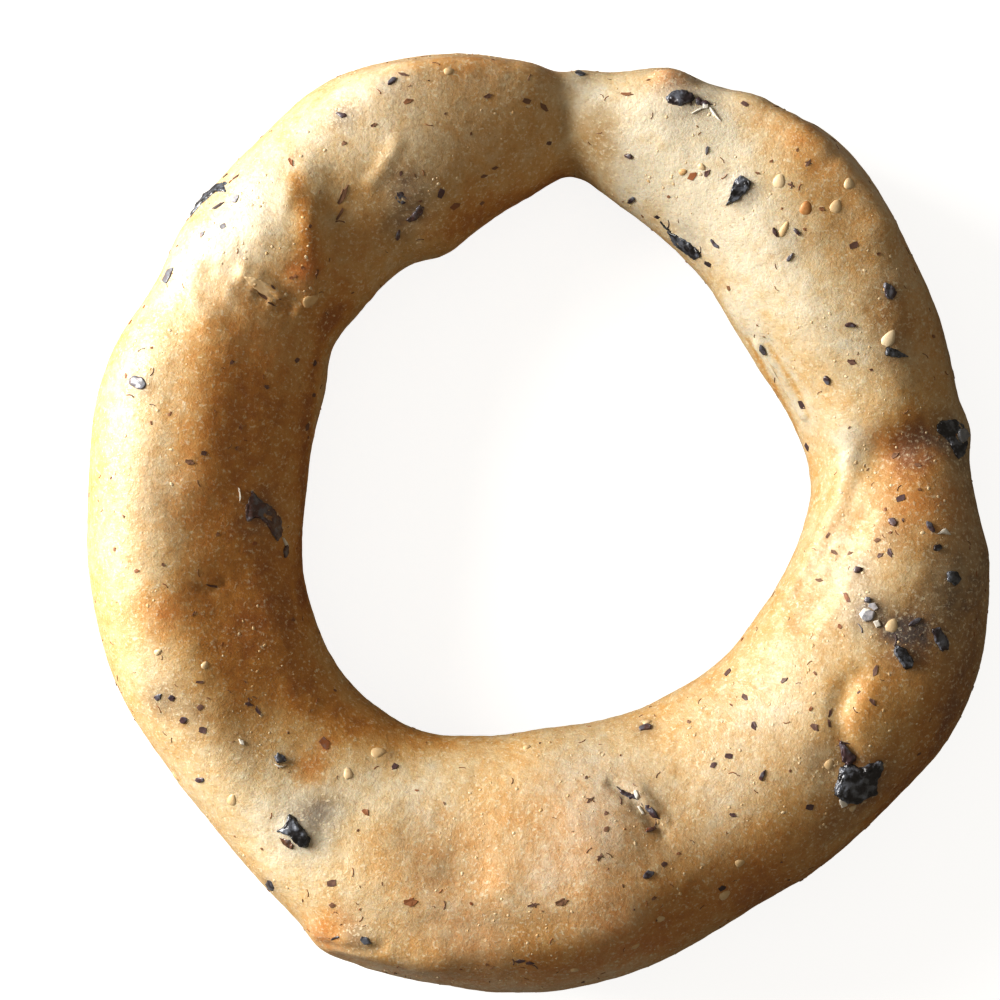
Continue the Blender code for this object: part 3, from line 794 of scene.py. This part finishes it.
# %% The olive bits
BLACK, PURPLE, BROWN, RUST, LILAC = 0.0, 0.3, 0.55, 0.78, 1.0
OLIVE_SLICES = {  # outline in pixels, height in mm and tone
    "rim_sliver": ([(187, 223), (196, 205), (208, 191), (219, 182), (232, 178), (228, 196),
                    (218, 191), (207, 200), (197, 209)], 0.7, BLACK),
    "lower_left": ([(287, 810), (296, 815), (304, 829), (313, 838), (311, 849), (299, 850),
                    (290, 838), (273, 831), (284, 824)], 1.0, BLACK),
    "lower_left_flange": ([(276, 835), (290, 838), (297, 846), (292, 852), (281, 845)], 0.4, BROWN),
    "largest": ([(836, 766), (846, 760), (862, 766), (882, 756), (886, 765), (876, 782), (880, 796),
                 (866, 798), (857, 807), (841, 803), (830, 796), (834, 781)], 1.5, BLACK),
    "largest_tail": ([(838, 738), (847, 743), (858, 758), (850, 768), (840, 763)], 0.7, PURPLE),
    "left": ([(250, 485), (262, 500), (276, 506), (284, 520), (286, 536), (278, 547), (269, 530),
              (256, 516), (244, 526), (242, 508)], 0.7, 0.42),
    "right_rim": ([(936, 420), (955, 416), (964, 424), (968, 440), (966, 456), (958, 463),
                   (949, 446), (943, 436), (934, 434)], 0.8, BLACK),
    "upper_right": ([(738, 174), (748, 175), (755, 182), (750, 192), (738, 203), (723, 209),
                     (728, 199), (731, 189), (732, 181)], 0.9, BLACK),
    "top_right": ([(664, 97), (672, 89), (688, 90), (698, 97), (692, 104), (680, 108), (668, 106)], 0.9, 0.06),
    "top_right_tail": ([(695, 96), (706, 100), (716, 105), (704, 108), (694, 104)], 0.4, PURPLE),
    "inner_edge": ([(664, 227), (680, 234), (691, 241), (705, 257), (697, 262), (686, 254), (674, 246)],
                   0.7, BLACK),
    "inner_edge_thread": ([(658, 219), (669, 228), (673, 234), (664, 228)], 0.4, BLACK),
    "right_oval": ([(882, 280), (892, 283), (899, 292), (894, 302), (886, 300), (882, 290)], 0.6, 0.2),
    "right_wedge": ([(883, 346), (894, 347), (905, 352), (912, 358), (896, 359), (883, 357)], 0.8, BLACK),
    "gloss": ([(896, 642), (906, 647), (916, 660), (913, 671), (904, 671), (897, 662), (892, 650)], 1.0, BLACK),
    "blue": ([(928, 628), (940, 625), (949, 638), (951, 651), (941, 653), (934, 644)], 0.7, 0.1),
    "outer": ([(945, 570), (957, 569), (963, 580), (955, 588), (945, 581)], 0.7, BLACK),
    "split_upper": ([(613, 784), (624, 789), (637, 794), (640, 802), (628, 800), (619, 793)], 0.4, 0.2),
    "split_lower": ([(638, 801), (651, 804), (658, 812), (663, 822), (650, 817), (642, 809)], 0.4, PURPLE),
    "sunken": ([(396, 190), (405, 191), (409, 203), (401, 207), (393, 199)], 0.3, 0.15),
    "sunken_low": ([(419, 203), (427, 206), (422, 217), (410, 225), (403, 221), (412, 213)], 0.35, 0.4),
    "pyramid": ([(277, 751), (287, 756), (288, 763), (276, 764), (273, 757)], 0.9, 0.1),
}
OLIVE_CHIPS = [  # pixel, length, width, height in mm, heading and tone
    ((138, 383), 3.4, 2.4, 0.5, 150, 0.9), ((168, 276), 3.4, 1.2, 0.4, 62, 0.9), ((392, 81), 2.3, 1.1, 0.4, 35, 0.28),
    ((342, 115), 2.2, 1.3, 0.3, -20, 0.35), ((707, 150), 1.7, 0.8, 0.3, 75, 0.9), ((580, 74), 2.4, 1.1, 0.5, -15, 0.05),
    ((270, 885), 2.6, 1.4, 0.5, -60, 0.1), ((366, 941), 2.6, 1.4, 0.5, -25, 0.05), ((335, 938), 1.8, 0.9, 0.4, 20, 0.1),
    ((868, 616), 3.0, 2.0, 0.5, 20, 0.97), ((874, 607), 2.0, 1.5, 0.4, -20, 1.0), ((868, 600), 1.7, 1.2, 0.7, 0, 0.3), ((858, 570), 1.9, 1.2, 0.5, 20, 0.3),
    ((930, 527), 2.8, 1.2, 0.5, -50, 0.25), ((938, 548), 2.2, 1.5, 0.6, 0, 0.05), ((915, 622), 3.6, 1.2, 0.4, 25, 0.2),
    ((893, 522), 2.0, 1.4, 0.4, -30, 0.7), ((645, 728), 2.8, 1.5, 0.4, 20, 0.4), ((648, 875), 2.4, 1.6, 0.4, 40, 0.2),
    ((651, 829), 2.2, 1.0, 0.4, 15, 0.72), ((762, 776), 2.6, 1.3, 0.4, 60, 0.35), ((715, 244), 2.8, 0.8, 0.3, -50, 0.3),
    ((775, 232), 2.0, 1.0, 0.4, -60, 0.35), ((797, 232), 2.0, 1.0, 0.4, -40, 0.35), ((790, 257), 2.0, 0.9, 0.4, 50, 0.4),
    ((850, 325), 2.4, 1.2, 0.4, 0, 0.35), ((827, 380), 1.9, 1.2, 0.4, -60, 0.25), ((763, 350), 2.3, 1.1, 0.4, -60, 0.25),
    ((962, 435), 2.8, 1.8, 0.7, 85, 0.94), ((632, 200), 1.6, 1.1, 0.4, 30, 0.15), ((629, 156), 1.9, 1.2, 0.4, 0, 0.35),
    ((158, 697), 1.7, 1.4, 0.3, 30, 0.3), ((172, 698), 1.5, 1.2, 0.3, 0, 0.25), ((184, 720), 1.7, 1.4, 0.3, 0, 0.3),
    ((200, 780), 1.8, 1.3, 0.3, 0, 0.3), ((398, 235), 2.6, 0.8, 0.3, 80, 0.4), ((286, 550), 2.6, 0.9, 0.4, 80, 0.5),
]
draw = random.Random("olive bits")
bits = [chopped(outline, height, tone, levels=4 if len(outline) > 10 else 3)
        for outline, height, tone in OLIVE_SLICES.values()]
for pixel, length, width, height, heading, tone in OLIVE_CHIPS:
    outline = uneven_outline(pixel, length, width, heading, draw.choice((5, 6, 7)), draw)
    bits.append(chopped(outline, height, tone, levels=2, crumple=0.25))
olive_bits = join_all(bits, "olive_bits")

# %% [markdown]
# ## Small things by the hundred
#
# Flecks of olive skin and dried herb, sesame seeds and the tiny blisters of the crust are
# each modelled once, from a primitive, in few faces. Copies are then laid on the crust by
# multiplying the model's points by a matrix for each place, all in one mesh. The ones that
# the photograph shows have their own pixels. The rest are strewn by a seeded draw, so that
# the ring's sides have them too.


# %% Copies in one mesh
def lying(spot, normal, heading, size):
    """The matrix that lays a model on a surface, turned to a heading and sized along X, Y and Z."""
    lean = Vector((0, 0, 1)).rotation_difference(normal).to_matrix().to_4x4()
    turn = Matrix.Rotation(math.radians(heading), 4, "Z")
    return Matrix.Translation(spot) @ lean @ turn @ Matrix.Diagonal((*size, 1)).to_4x4()


def copies(model, name, places, smooth=True):
    """One piece of many copies of a model. A place is a matrix and a tone.

    A mirrored copy would be inside out, so its faces are turned round.
    """
    points = points_of(model)
    faces = [tuple(face.vertices) for face in model.data.polygons]
    rows, tones, all_faces = [], [], []
    for number, (matrix, tone) in enumerate(places):
        grid = np.array(matrix)
        rows.append(points @ grid[:3, :3].T + grid[:3, 3])
        tones.append(np.full(len(points), tone))
        first = number * len(points)
        step = -1 if matrix.determinant() < 0 else 1
        all_faces += [tuple(first + corner for corner in face[::step]) for face in faces]
    mesh = bpy.data.meshes.new(name)
    mesh.from_pydata(np.concatenate(rows).tolist(), [], all_faces)
    mesh.attributes.new("tone", "FLOAT", "POINT").data.foreach_set("value", np.concatenate(tones))
    piece = bpy.data.objects.new(name, mesh)
    bpy.context.scene.collection.objects.link(piece)
    bpy.data.objects.remove(model)
    bpy.ops.object.select_all(action="DESELECT")
    piece.select_set(True)
    bpy.context.view_layer.objects.active = piece
    if smooth:
        bpy.ops.object.shade_smooth()
    print(name, "has", len(places), "copies and", len(all_faces), "faces")
    return piece


def strewn(count, draw, lowest=0.0):
    """Places and normals drawn evenly over the crust, above a height in metres, on faces not turned far downwards."""
    areas = np.array([face.area for face in crust.data.polygons])
    order = np.cumsum(areas)
    found = []
    while len(found) < count:
        face = crust.data.polygons[int(np.searchsorted(order, draw.random() * order[-1]))]
        if face.center.z > lowest and face.normal.z > -0.35:
            found.append((face.center.copy(), face.normal.copy()))
    return found


# %% Flecks of olive skin and herb
FLECKS = [  # pixel, length, width in mm, heading and tone
    (403, 74, 1.6, 0.4, -20, 0.4), (408, 101, 1.7, 0.7, 10, 0.6), (488, 96, 1.3, 0.6, 30, 0.4),
    (527, 101, 1.4, 0.8, -10, 0.5), (544, 107, 1.8, 0.7, -45, 0.5), (344, 143, 0.9, 0.6, 0, 0.5),
    (374, 125, 0.9, 0.5, 40, 0.5), (441, 193, 1.6, 1.0, 80, 0.3), (455, 206, 1.7, 0.9, 10, 0.65),
    (484, 176, 1.3, 0.5, 0, 0.5), (495, 168, 1.0, 0.5, 20, 0.5), (549, 143, 1.0, 0.6, 0, 0.4),
    (482, 203, 0.8, 0.6, 0, 0.5), (291, 162, 1.8, 0.5, -70, 0.75), (343, 195, 2.8, 0.8, 70, 0.5),
    (340, 214, 2.2, 0.4, 60, 0.5), (273, 287, 0.9, 0.3, -50, 0.4), (280, 299, 0.4, 0.4, 0, 0.4),
    (190, 462, 1.3, 0.8, 0, 0.5), (204, 453, 0.9, 0.7, 0, 0.4), (297, 360, 0.9, 0.7, 0, 0.4),
    (315, 363, 1.0, 0.8, 0, 0.3), (267, 387, 0.8, 0.6, 0, 0.4), (314, 395, 0.9, 0.6, 0, 0.4),
    (307, 427, 1.3, 0.7, 60, 0.4), (232, 362, 0.8, 0.6, 0, 0.4), (213, 586, 2.2, 0.35, -15, 0.4),
    (203, 730, 1.2, 1.0, 0, 0.3), (200, 707, 1.0, 0.8, 0, 0.4), (249, 704, 1.6, 0.45, -20, 0.3),
    (258, 711, 1.6, 0.5, -50, 0.3), (200, 682, 1.2, 0.4, 0, 0.4), (325, 743, 2.0, 1.3, -80, 0.8),
    (366, 812, 1.5, 0.8, -60, 0.65), (411, 902, 1.9, 1.2, 20, 0.7), (332, 883, 1.6, 1.0, 20, 0.4),
    (332, 905, 1.0, 0.7, 0, 0.5), (395, 766, 1.2, 1.0, 0, 0.3), (627, 94, 1.8, 0.5, 0, 0.65),
    (745, 104, 1.2, 0.7, -30, 0.35), (692, 176, 1.7, 0.9, 30, 0.75), (707, 173, 1.5, 0.7, 40, 0.35),
    (822, 209, 0.8, 0.6, 0, 0.65), (854, 245, 1.5, 0.9, 30, 0.4), (808, 163, 1.3, 0.35, 50, 0.4),
    (791, 185, 1.3, 0.35, -30, 0.4), (852, 362, 1.3, 0.8, 0, 0.4), (802, 405, 1.5, 1.0, -60, 0.2),
    (807, 447, 1.3, 0.8, -80, 0.2), (895, 455, 1.4, 0.7, 20, 0.5), (918, 465, 1.0, 0.6, 0, 0.5),
    (901, 498, 1.5, 0.9, 30, 0.3), (877, 540, 1.0, 0.6, 0, 0.5), (880, 555, 1.2, 0.6, 20, 0.4),
    (890, 553, 1.3, 0.7, -60, 0.3), (828, 535, 1.0, 0.4, 60, 0.5), (834, 552, 1.2, 0.5, -40, 0.5),
    (850, 553, 1.1, 0.5, 0, 0.5), (819, 580, 1.2, 0.5, 0, 0.5), (847, 598, 1.8, 0.6, -60, 0.8),
    (875, 671, 1.8, 0.6, 70, 0.4), (873, 702, 1.6, 0.6, -60, 0.4), (830, 713, 1.3, 0.4, 80, 0.4),
    (829, 723, 1.3, 0.4, 100, 0.4), (664, 864, 1.0, 0.7, 0, 0.35), (654, 898, 0.9, 0.6, 0, 0.5),
    (562, 902, 1.8, 1.0, 30, 0.5), (728, 672, 1.4, 0.8, 60, 0.35), (745, 697, 1.3, 0.7, -60, 0.35),
    (784, 680, 1.4, 0.6, 20, 0.4), (754, 726, 1.2, 0.8, -60, 0.3), (729, 756, 1.2, 0.8, 0, 0.3),
    (713, 765, 1.1, 0.7, 30, 0.3), (815, 727, 1.6, 0.9, -60, 0.4), (733, 815, 1.0, 0.6, 0, 0.3),
    (810, 807, 1.3, 0.9, 0, 0.25), (722, 888, 1.2, 0.8, 0, 0.15), (590, 800, 1.6, 0.35, 40, 0.4),
    (533, 905, 1.6, 0.4, 20, 0.4), (600, 857, 1.3, 0.35, 60, 0.4), (520, 961, 1.6, 0.6, 5, 0.3),
    (530, 963, 1.5, 0.6, -10, 0.3), (657, 217, 1.0, 0.6, 30, 0.1), (708, 264, 1.3, 0.8, -10, 0.05),
    (606, 829, 1.0, 0.6, 40, 0.5), (606, 813, 0.7, 0.6, 0, 0.4), (225, 176, 1.6, 0.5, 0, 0.1),
    (236, 177, 1.3, 0.4, 25, 0.35), (235, 199, 1.4, 0.9, 40, 0.93), (202, 234, 1.2, 0.7, 30, 0.9),
    # The slivers at (264, 297) and (272, 304) are painted shadow in the crack under the tongue's lip, and the flecks at
    # (317, 274), (303, 268) and (295, 276) sit in the pits of its tip: partly painted shade
    (218, 206, 2.2, 0.6, 25, 0.1), (223, 226, 1.0, 0.8, 40, 0.93), (264, 297, 2.4, 0.35, -38, 0.45),
    (272, 304, 1.8, 0.3, -30, 0.45), (317, 274, 1.5, 0.7, -70, 0.6), (303, 268, 0.6, 0.5, 0, 0.65),
    (295, 276, 0.6, 0.5, 0, 0.65), (314, 297, 0.6, 0.5, 0, 0.5),
]
STREWN_FLECKS = 130
FLECK_THICKNESS = 0.22
FLECK_SINK = 0.03 * MM
FLECK_CORNERS = (5, 7, 9, 6)
FLECK_UNEVENNESS = 0.4

draw = random.Random("flecks")
places = []
for x, y, length, width, heading, tone in FLECKS:
    spot, normal = under_pixel(crust_surface, (x, y))
    size = Vector((length, width, FLECK_THICKNESS)) * MM
    places.append((lying(spot - normal * FLECK_SINK, normal, heading, size), tone))
for spot, normal in strewn(STREWN_FLECKS, draw, 3 * MM):
    length = draw.uniform(0.3, 0.85)
    size = Vector((length, length * draw.uniform(0.3, 0.8), FLECK_THICKNESS)) * MM
    places.append((lying(spot - normal * FLECK_SINK, normal, draw.uniform(0, 360), size), draw.uniform(0.4, 0.75)))
crumbs = []
for kind, corners in enumerate(FLECK_CORNERS):
    bpy.ops.object.select_all(action="DESELECT")
    bpy.ops.mesh.primitive_cylinder_add(vertices=corners, radius=0.5, depth=1.0, end_fill_type="TRIFAN")
    fleck = bpy.context.object
    bpy.ops.object.mode_set(mode="EDIT")
    bpy.ops.mesh.select_all(action="SELECT")
    bpy.ops.transform.vertex_random(offset=FLECK_UNEVENNESS, seed=kind + 4)
    bpy.ops.object.mode_set(mode="OBJECT")
    crumbs.append(copies(fleck, "flecks", places[kind::len(FLECK_CORNERS)], smooth=False))
herb_flecks = join_all(crumbs, "herb_flecks")

# %% Threads of dried herb
THREADS = [  # pixel, length in mm, heading and tone
    (590, 800, 1.9, 40, 0.5), (600, 857, 1.5, 60, 0.5), (533, 905, 1.7, 20, 0.5), (444, 905, 1.8, -30, 0.5),
    (535, 967, 1.9, 10, 0.35), (513, 962, 1.7, -20, 0.35), (462, 768, 1.5, 60, 0.6), (512, 781, 1.5, -30, 0.5),
    (609, 855, 1.5, 30, 0.5), (248, 702, 1.9, -30, 0.3), (152, 405, 1.2, 50, 0.3), (141, 350, 1.8, 80, 0.9),
    (130, 396, 2.0, 50, 0.4), (152, 372, 1.8, -50, 0.4), (808, 163, 1.5, 50, 0.4), (791, 185, 1.5, -30, 0.4),
    (843, 745, 3.0, 75, 0.3), (690, 100, 2.5, -20, 0.3), (340, 222, 2.0, 60, 0.5), (722, 160, 1.4, 10, 0.5),
    (668, 224, 2.2, -40, 0.1), (700, 250, 2.0, -40, 0.1), (420, 240, 1.6, 70, 0.5), (880, 765, 2.5, 20, 0.1),
    (895, 640, 2.6, -30, 0.2), (860, 628, 2.2, 0, 0.9), (620, 800, 2.2, -20, 0.4), (655, 823, 1.8, -40, 0.4),
]
STREWN_THREADS = 260
THREAD_STEPS = 5
THREAD_BEND = math.radians(64)
THREAD_WIDTH = 0.045

bpy.ops.object.select_all(action="DESELECT")
bpy.ops.mesh.primitive_circle_add(
    vertices=4, radius=THREAD_WIDTH, fill_type="NGON", location=(0.65, 0, 0), rotation=(math.pi / 2, 0, 0),
)
thread = bpy.context.object
bpy.ops.object.transform_apply(location=True, rotation=True, scale=True)
bpy.ops.object.mode_set(mode="EDIT")
bpy.ops.mesh.select_all(action="SELECT")
bpy.ops.mesh.spin(steps=THREAD_STEPS, angle=THREAD_BEND, center=(0, 0, 0), axis=(0, 0, 1))
bpy.ops.mesh.select_all(action="SELECT")
bpy.ops.mesh.remove_doubles(threshold=1e-4)
bpy.ops.mesh.fill_holes(sides=4)
bpy.ops.mesh.normals_make_consistent(inside=False)
bpy.ops.transform.rotate(value=THREAD_BEND / 2 - math.pi / 2, orient_axis="Z", center_override=(0, 0, 0))
bpy.ops.object.mode_set(mode="OBJECT")
thread_points = points_of(thread)
thread_middle = (thread_points.min(axis=0) + thread_points.max(axis=0)) / 2
bpy.ops.object.mode_set(mode="EDIT")
bpy.ops.mesh.select_all(action="SELECT")
bpy.ops.transform.translate(value=-Vector(thread_middle))
bpy.ops.object.mode_set(mode="OBJECT")
print("thread spans", np.round(np.ptp(thread_points, axis=0), 2))

draw = random.Random("threads")
places = []
for x, y, length, heading, tone in THREADS:
    spot, normal = under_pixel(crust_surface, (x, y))
    places.append((lying(spot, normal, heading, Vector((length, length, 2.2)) * MM), tone))
for spot, normal in strewn(STREWN_THREADS, draw, 3 * MM):
    length = draw.uniform(0.7, 1.7)
    size = Vector((length, length * draw.choice((-1, 1)) * draw.uniform(0.6, 1.2), 2.0)) * MM
    places.append((lying(spot, normal, draw.uniform(0, 360), size), draw.uniform(0.45, 0.8)))
herb_threads = copies(thread, "herb_threads", places)

# %% Sesame seeds
SEEDS = [  # pixel, length, width in mm, heading and tone
    (311, 301, 2.6, 2.0, 25, 0.4), (806, 208, 2.3, 1.9, 80, 0.8), (836, 206, 2.3, 1.9, 70, 0.3),
    (849, 183, 1.9, 1.6, 95, 0.2), (784, 229, 2.8, 1.2, 62, 0.3), (378, 752, 2.5, 1.9, 15, 0.3),
    (860, 793, 2.4, 1.9, 30, 0.1), (829, 764, 1.9, 1.6, 60, 0.3), (892, 625, 2.3, 1.9, 70, 0.2),
    (889, 338, 2.8, 1.9, 60, 0.0), (725, 895, 2.1, 1.7, 40, 0.3), (683, 172, 1.5, 1.1, 20, 0.5),
    (702, 167, 1.4, 1.0, -30, 0.2), (449, 71, 1.7, 1.2, 10, 0.3), (232, 800, 2.1, 1.6, 80, 0.3),
    (779, 181, 2.3, 2.0, 75, 0.1), (740, 863, 1.7, 1.3, 20, 0.3), (661, 919, 1.6, 1.2, 0, 0.3),
    (636, 946, 1.6, 1.2, 50, 0.4), (575, 970, 1.5, 1.2, 0, 0.3), (205, 665, 1.4, 1.1, 60, 0.2),
    (647, 722, 1.5, 1.1, 20, 0.2), (853, 808, 1.5, 1.2, 50, 0.2), (348, 773, 2.0, 1.5, 100, 0.2),
    (158, 652, 1.4, 1.0, 30, 0.1), (527, 747, 1.3, 1.0, 10, 0.3),
]
SEED_THICKNESS = 0.75
SEED_SINK = 0.14 * MM
SEED_TAPER = 0.35
STREWN_SEEDS = 14

bpy.ops.object.select_all(action="DESELECT")
bpy.ops.mesh.primitive_uv_sphere_add(segments=14, ring_count=9, radius=0.5, rotation=(0, math.pi / 2, 0))
seed = bpy.context.object
bpy.ops.object.transform_apply(location=True, rotation=True, scale=True)
bpy.ops.object.mode_set(mode="EDIT")
drop = bmesh.from_edit_mesh(seed.data)
for level in sorted({round(corner.co.x, 4) for corner in drop.verts}):
    bpy.ops.mesh.select_all(action="DESELECT")
    for corner in drop.verts:
        corner.select = abs(corner.co.x - level) < 1e-3
    narrow = 1 - SEED_TAPER * 2 * level
    bpy.ops.transform.resize(value=(1, narrow, 1), center_override=(0, 0, 0))
bpy.ops.mesh.select_all(action="SELECT")
bpy.ops.transform.vertex_random(offset=0.035, seed=5)
bpy.ops.object.mode_set(mode="OBJECT")

draw = random.Random("seeds")
places = []
for x, y, length, width, heading, tone in SEEDS:
    spot, normal = under_pixel(crust_surface, (x, y))
    size = Vector((length, width, SEED_THICKNESS)) * MM
    places.append((lying(spot - normal * SEED_SINK, normal, heading, size), tone))
for spot, normal in strewn(STREWN_SEEDS, draw, 4 * MM):
    if normal.z < 0.3:
        size = Vector((draw.uniform(1.6, 2.4), draw.uniform(1.2, 1.8), SEED_THICKNESS)) * MM
        heading = draw.uniform(0, 360)
        places.append((lying(spot - normal * SEED_SINK, normal, heading, size), draw.uniform(0.1, 0.6)))
sesame_seeds = copies(seed, "sesame_seeds", places)

# %% Blisters of the crust
BLISTERS = 2600
BLISTER_SIZES = (0.2, 0.55)
CLUMP_SIZE = 14 * MM
CLUMP_LEVEL = 0.0

bpy.ops.object.select_all(action="DESELECT")
bpy.ops.mesh.primitive_uv_sphere_add(segments=7, ring_count=4, radius=0.5)
blister = bpy.context.object
bpy.ops.object.mode_set(mode="EDIT")
bpy.ops.mesh.select_all(action="SELECT")
bpy.ops.transform.vertex_random(offset=0.03, seed=2)
bpy.ops.object.mode_set(mode="OBJECT")

draw = random.Random("blisters")
places = []
for spot, normal in strewn(BLISTERS, draw, 3 * MM):
    wide = BLISTER_SIZES[0] + (BLISTER_SIZES[1] - BLISTER_SIZES[0]) * draw.random() ** 2
    size = Vector((wide * draw.uniform(0.9, 1.5), wide, 0.3 * wide)) * MM
    place = lying(spot, normal, draw.uniform(0, 360), size)
    tone = 0.5 * draw.random() ** 2
    if noise.noise(spot / CLUMP_SIZE) > CLUMP_LEVEL:
        places.append((place, tone))
crust_blisters = copies(blister, "crust_blisters", places)

# %% [markdown]
# ## Pale shreds
#
# Where an olive was torn, thin pale fibres of its flesh lie on the crust. They are bits
# with a long narrow outline, flat and matt. One pale fleck on the outer olive bit is no
# flesh but a painted highlight.

# %% Shreds of olive flesh
SHREDS = {
    "top_right_left": [(690, 113), (703, 106), (704, 109), (692, 115)],
    "top_right_cross": [(702, 103), (709, 104), (709, 109), (702, 110)],
    "top_right_long": [(707, 106), (711, 106), (717, 114), (723, 123), (719, 121), (712, 114)],
    "left_thread": [(237, 486), (240, 487), (242, 498), (239, 505), (239, 495)],
    "left_stem": [(281, 536), (284, 537), (289, 545), (288, 553), (285, 546)],
    "right_triangle": [(935, 535), (945, 527), (953, 536), (943, 534)],
    # This pale fleck on the outer olive bit is a painted highlight
    "outer_painted_glint": [(948, 578), (953, 574), (957, 577), (952, 580)],
    "split_rim": [(633, 790), (637, 789), (640, 797), (637, 801), (634, 796)],
    "split_rim_low": [(636, 806), (640, 805), (646, 815), (642, 815)],
    "largest_low": [(838, 799), (845, 798), (849, 805), (841, 809)],
    "pyramid_rim": [(271, 762), (280, 766), (289, 765), (280, 769)],
    "pale_lump": [(858, 614), (864, 607), (872, 609), (870, 619), (862, 621)],
    "pale_lump_low": [(872, 621), (879, 619), (882, 626), (876, 629)],
    "white_fleck": [(238, 738), (244, 740), (245, 746), (240, 745)],
}
shreds = [chopped(outline, 0.35, 0.0, sink=0.3, levels=2, crumple=0.12) for outline in SHREDS.values()]
pale_shreds = join_all(shreds, "pale_shreds")

# %% Thin lips of dough
LIPS = {  # outline in pixels, height in mm and tone
    "tongue": ([(240, 274), (254, 276), (270, 283), (287, 295), (283, 303), (267, 298), (249, 286)], 0.7, 0.25),
    "inner_edge": ([(757, 342), (767, 353), (781, 374), (796, 398), (806, 421), (803, 422), (790, 399),
                    (776, 376), (763, 356)], 0.22, 0.0),
    "glossy_ridge": ([(372, 168), (384, 157), (393, 146), (397, 150), (388, 163), (376, 172)], 0.16, 0.15),
}
lips = [chopped(outline, height, tone, sink=0.4, crumple=0.2) for outline, height, tone in LIPS.values()]
dough_lips = join_all(lips, "dough_lips")

# %% [markdown]
# ## Finishes of the bits
#
# Olive skin is nearly black with a violet cast and shines where it is wet with oil. Torn
# flesh and herb are browner and duller. The tone stored on each bit picks its colour from
# a ramp. Seeds and blisters are cream, with a darker end or a browned top here and there.


# %% Materials of the bits
# Grey-blue patches on the olive bits: partly the skin's own waxy haze, partly a painted reflection of the bright room
# on wet skin
BLOOM_AND_REFLECTION = (0.20, 0.22, 0.265, 1.0)


def toned_material(name, stops, rough, coat, mottling, bump_depth, bloom_and_reflection=0.0):
    """A material whose colour is a ramp over the bit's tone, mottled, with a grey-blue haze, partly the skin's own and
    partly painted reflection, and a fine bump.
    """
    made, tree, shader, place = new_material(name)
    mottled = use_group(tree, mottle_group, Place=place, Scale=1500.0, Contrast=2.0).outputs["Mask"]
    shift = maths(tree, "MULTIPLY", maths(tree, "SUBTRACT", mottled, 0.5), mottling)
    tone = maths(tree, "ADD", attribute(tree, "tone"), shift, clamp=True)
    colour = ramp(tree, tone, stops)
    if bloom_and_reflection:
        patches = ease(tree, cloud(tree, place, 650.0, 3.0, 0.6), 0.42, 0.62, 0.0, bloom_and_reflection)
        colour = blend_colour(tree, patches, colour, BLOOM_AND_REFLECTION)
    wire(tree, colour, shader.inputs["Base Color"])
    wire(tree, ease(tree, mottled, 0.2, 0.8, rough * 0.75, rough * 1.3), shader.inputs["Roughness"])
    shader.inputs["Coat Weight"].default_value = coat
    shader.inputs["Coat Roughness"].default_value = 0.12
    bump = add_node(tree, "ShaderNodeBump")
    bump.inputs["Strength"].default_value = 0.6
    bump.inputs["Distance"].default_value = bump_depth * MM
    wire(tree, cloud(tree, place, 2200.0, 4.0, 0.6), bump.inputs["Height"])
    wire(tree, bump.outputs["Normal"], shader.inputs["Normal"])
    return made


OLIVE_TONES = [
    (0.0, (0.014, 0.013, 0.015)), (0.3, (0.08, 0.042, 0.048)), (0.55, (0.13, 0.06, 0.03)),
    (0.78, (0.22, 0.065, 0.02)), (0.92, (0.17, 0.18, 0.20)), (1.0, (0.46, 0.44, 0.46)),
]
HERB_TONES = [
    (0.0, (0.03, 0.022, 0.022)), (0.3, (0.12, 0.07, 0.07)), (0.55, (0.25, 0.135, 0.07)),
    (0.78, (0.32, 0.12, 0.04)), (0.92, (0.20, 0.20, 0.22)), (1.0, (0.46, 0.44, 0.46)),
]
SEED_TONES = [
    (0.0, (0.72, 0.60, 0.42)), (0.4, (0.66, 0.47, 0.25)), (0.8, (0.50, 0.25, 0.09)), (1.0, (0.38, 0.16, 0.05)),
]
SHRED_TONES = [(0.0, (0.72, 0.69, 0.63)), (1.0, (0.5, 0.44, 0.38))]
FINISHES = {  # piece, slot and the material's values
    "olive": (olive_bits, "olive", (OLIVE_TONES, 0.36, 0.35, 0.12, 0.08, 0.6)),
    "fleck": (herb_flecks, "herb", (HERB_TONES, 0.55, 0.0, 0.2, 0.05)),
    "thread": (herb_threads, "herb", (HERB_TONES, 0.6, 0.0, 0.2, 0.03)),
    "seed": (sesame_seeds, "seed", (SEED_TONES, 0.48, 0.0, 0.35, 0.05)),
    "blister": (crust_blisters, "crust", (SEED_TONES, 0.4, 0.1, 0.5, 0.02)),
    "lip": (dough_lips, "crust", (SEED_TONES, 0.45, 0.0, 0.4, 0.08)),
    "shred": (pale_shreds, "herb", (SHRED_TONES, 0.45, 0.0, 0.5, 0.05)),
}
for name, (piece, slot, values) in FINISHES.items():
    piece.data.materials.clear()
    piece.data.materials.append(toned_material(name, *values))
    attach(piece, "root")
    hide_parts("simit")
print("finishes:", ", ".join(FINISHES))
